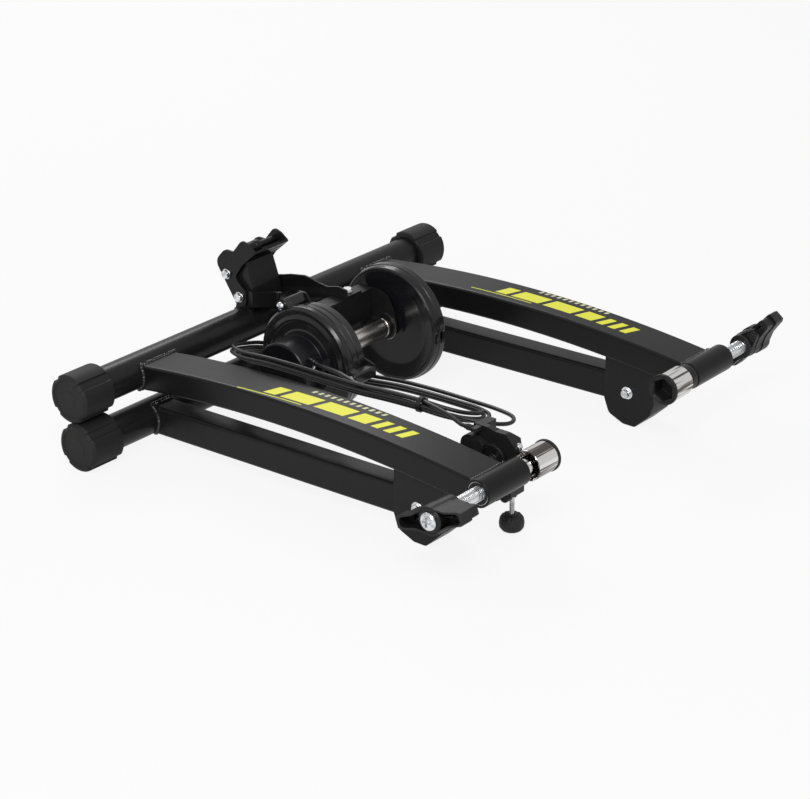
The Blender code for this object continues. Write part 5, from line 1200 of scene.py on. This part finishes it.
def makeCable():
    hank = hankLine()
    glandEnd = Vector(gland["end"])
    glandWay = (glandEnd - Vector(gland["start"])).normalized()
    unitLead = leadLine(glandEnd + glandWay * 0.1, glandWay, cable["unitLead"], hank[0],
                        (hank[1] - hank[0]).normalized(), 40)
    arriving = Vector((0, -1, 0))
    remoteLead = leadLine(hank[-1], (hank[-1] - hank[-2]).normalized(), cable["remoteLead"],
                          Vector(adjuster["end"]) - arriving * 0.1, arriving, 30)
    whole = unitLead[:-1] + hank + remoteLead[1:]
    item = wire("trainerCable", [at(*spot) for spot in whole], cable["radius"], 4)
    item.data.use_fill_caps = True
    item.data.materials.append(materials["cableJacket"])
    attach(item, "upper_frame")
    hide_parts("cable_hank", "cable_lead_unit", "cable_lead_remote")
    tie = makeTie()


def makeTie():
    start, middle, end = (Vector(hankRoute[index]) for index in (1, 2, 3))
    inner = hankRadius + cable["radius"] + 0.25
    way = (end - start).normalized()
    place = between(middle - way * 2.2, middle + way * 2.2)
    line = [(0, inner, 0.2), (0, inner + 1.1, 0.4), (4.4, inner + 1.1, 0.4), (4.4, inner, 0.2)]
    head = plate("tieHead", rectangle((inner + 0.6, -2.8), (inner + 3.4, 2.8)), -0.4, 4.8, place, -1)
    return finishPiece(ring("cableTie", line, place, 64), "upper_frame", "mouldedBlack", "cable_tie", [head],
                       width=0.25)


# Yellow stripes on the upper arms: plain slanted bars, no lettering

stripes = dict(lift=0.07, thick=0.0002, slant=6.0, wide=17.5,
               bars=((0, 14), (20, 34), (60, 34), (100, 20), (126, 8), (140, 8), (154, 8)), lineStart=-27,
               lineLong=77, lineWide=1.3, lineGap=3.0, ticks=12, tickStart=29.0, tickPitch=7.4, tickLong=3.4,
               tickGap=6.5, tickWide=5.0, near=dict(start=-168.0, low=-15.5, drift=0.045),
               far=dict(start=-182.5, low=-9.2, drift=0.0))


def stripeSheet(name, side, outline, steps):
    # A thin painted quad that follows the arm's arch. Corners are (along x from the arm's middle, y).
    top = []
    first, second, third, fourth = outline
    for step in range(steps + 1):
        t = step / steps
        for p, q in ((first, fourth), (second, third)):
            y = p[1] + (q[1] - p[1]) * t
            top.append(at(side * arm["x"] + p[0] + (q[0] - p[0]) * t, y, archZ(y, -stripes["lift"])))
    base, last = len(top), steps * 2
    faces = []
    for a in range(0, last, 2):
        faces += [[a, a + 1, a + 3, a + 2], [base + a + 2, base + a + 3, base + a + 1, base + a],
                  [a, a + 2, base + a + 2, base + a], [a + 3, a + 1, base + a + 1, base + a + 3]]
    faces += [[0, base, base + 1, 1], [last + 1, base + last + 1, base + last, last]]
    return meshObject(name, top + [point - Vector((0, 0, stripes["thick"])) for point in top], faces)


def makeStripes():
    wide, lineTop = stripes["wide"], -stripes["lineGap"]
    tickLow = wide + stripes["tickGap"]
    for label, word, side in sides:
        place = stripes[label]

        def bar(a, b, along, length, steps=10, name="armStripes" + word):
            # from a to b across the arm, counted from the stripes' lower edge, and along from their start
            corners = []
            for across, far in ((a, 0), (b, 0), (b, length), (a, length)):
                reach = along + far + stripes["slant"] * across / wide
                corners.append((place["low"] + across + place["drift"] * reach, place["start"] - reach))
            return stripeSheet(name, side, corners, steps)
        sheets = [bar(0, wide, along, length) for along, length in stripes["bars"]]
        sheets.append(bar(lineTop - stripes["lineWide"], lineTop, stripes["lineStart"], stripes["lineLong"],
                          24))
        finishPiece(joined(sheets), "upper_frame", "decalYellow", weighted=False, angle=20)
        ticks = [bar(tickLow, tickLow + stripes["tickWide"],
                     stripes["tickStart"] + index * stripes["tickPitch"], stripes["tickLong"], 2,
                     "armTicks" + word) for index in range(stripes["ticks"])]
        finishPiece(joined(ticks), "upper_frame", "decalPale", weighted=False, angle=20)


view = dict(azimuth=-0.8813269327805255, elevation=0.4217664732378008, roll=-0.0025154469315874263,
            distance=2398.769, focal=2466.151, target=(-29.395, -214.918, 50.0), photoWide=810.0, sensor=36.0)


def makeCamera():
    azimuth, elevation, roll = view["azimuth"], view["elevation"], view["roll"]
    ahead = Vector((-sin(azimuth) * cos(elevation), cos(azimuth) * cos(elevation), -sin(elevation)))
    right = ahead.cross(Vector((0, 0, 1))).normalized()
    up = right.cross(ahead)
    right, up = right * cos(roll) + up * sin(roll), up * cos(roll) - right * sin(roll)
    data = bpy.data.cameras.new("photoCamera")
    data.sensor_fit = "HORIZONTAL"
    data.sensor_width = view["sensor"]
    data.lens = view["focal"] * view["sensor"] / view["photoWide"]
    data.clip_end = 30.0
    camera = linked("photoCamera", data)
    place = at(*(Vector(view["target"]) - ahead * view["distance"]))
    camera.matrix_world = Matrix.Translation(place) @ Matrix((right, up, -ahead)).transposed().to_4x4()
    bpy.context.scene.camera = camera


studio = dict(floor=0.80, floorSeen=0.88, floorGlossy=0.45, floorHalf=6, worldSeen=0.955, worldDiffuse=0.38,
              worldGlossy=0.62)
lamps = {"keyLight": dict(spot=(-1.55, -1.05, 1.75), aim=(0, 0, 0), size=(0.9, 0.7), power=24.0),
         "fillLight": dict(spot=(-2.2, -0.6, 0.9), aim=(0, 0, 0.05), size=(1.2, 1.2), power=9.0),
         "backLight": dict(spot=(0.9, 1.8, 1.7), aim=(0, 0, 0.05), size=(1.8, 0.8), power=22.0)}


def areaLight(name, spot, aim, size, power):
    data = bpy.data.lights.new(name, "AREA")
    data.shape = "RECTANGLE"
    data.size, data.size_y = size
    data.energy = power
    lamp = linked(name, data)
    lamp.location = spot
    lamp.rotation_euler = (Vector(aim) - Vector(spot)).to_track_quat("-Z", "Y").to_euler()


def rayBrightness(tree, seen, glossy):
    # What the camera sees is as bright as seen, and what shiny faces mirror as bright as glossy.
    path = add(tree, "ShaderNodeLightPath").outputs
    direct = calc(tree, "MAXIMUM", path["Is Camera Ray"], path["Is Transmission Ray"])
    return calc(tree, "MAXIMUM", calc(tree, "MULTIPLY", direct, seen),
                calc(tree, "MULTIPLY", path["Is Glossy Ray"], glossy))


def makeStudio():
    h = studio["floorHalf"]
    floor = meshObject("studioFloor", [(-h, -h, 0), (h, -h, 0), (h, h, 0), (-h, h, 0)], [[0, 1, 2, 3]])
    material = bpy.data.materials.new("paleFloor")
    material.use_nodes = True
    tree = material.node_tree
    shader = fill(tree, tree.nodes["Principled BSDF"], {
        "Base Color": (studio["floor"],) * 3 + (1,), "Roughness": 0.9, "Specular IOR Level": 0.0})
    glow = add(tree, "ShaderNodeEmission", {"Strength": 1.0})
    mix = add(tree, "ShaderNodeMixShader", {0: rayBrightness(tree, studio["floorSeen"],
                                                             studio["floorGlossy"]),
                                            1: shader.outputs[0], 2: glow.outputs[0]})
    fill(tree, tree.nodes["Material Output"], {"Surface": mix.outputs[0]})
    floor.data.materials.append(material)
    world = bpy.data.worlds.new("studioWorld")
    bpy.context.scene.world = world
    world.use_nodes = True
    tree, base = world.node_tree, studio["worldDiffuse"]
    extra = rayBrightness(tree, studio["worldSeen"] - base, studio["worldGlossy"] - base)
    fill(tree, tree.nodes["Background"], {"Strength": calc(tree, "ADD", extra, base), "Color": (1, 1, 1, 1)})
    for name, values in lamps.items():
        areaLight(name, **values)
    bpy.context.scene.view_settings.view_transform = "Standard"


for stage, makers in (
        ("frame", (makeCamera, makeStudio, makeCable, makeTubes, makeCaps, makeUpperArms, makeLowerArms,
                   makeWelds)),
        ("clamps", (makeSleeves, makeCups, makeRods, makeHandles, makeGussets)),
        ("unit", (makeBracket, makePost, makeLever, makeSwingArm, makeYoke, makeHousing, makeBoss,
                  makeRotor)),
        ("remote and stripes", (makeRemoteBody, makeRemoteLever, makeRemoteClamp, makeStripes))):
    for make in makers:
        make()
    print(stage + " ready")

keptNodes = {"conductor_disc": "turnedAluminium", "magnet_carrier": "mouldedBlack"}
for name, finish in keptNodes.items():
    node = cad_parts[name]
    node.data.materials.clear()
    node.data.materials.append(materials[finish])
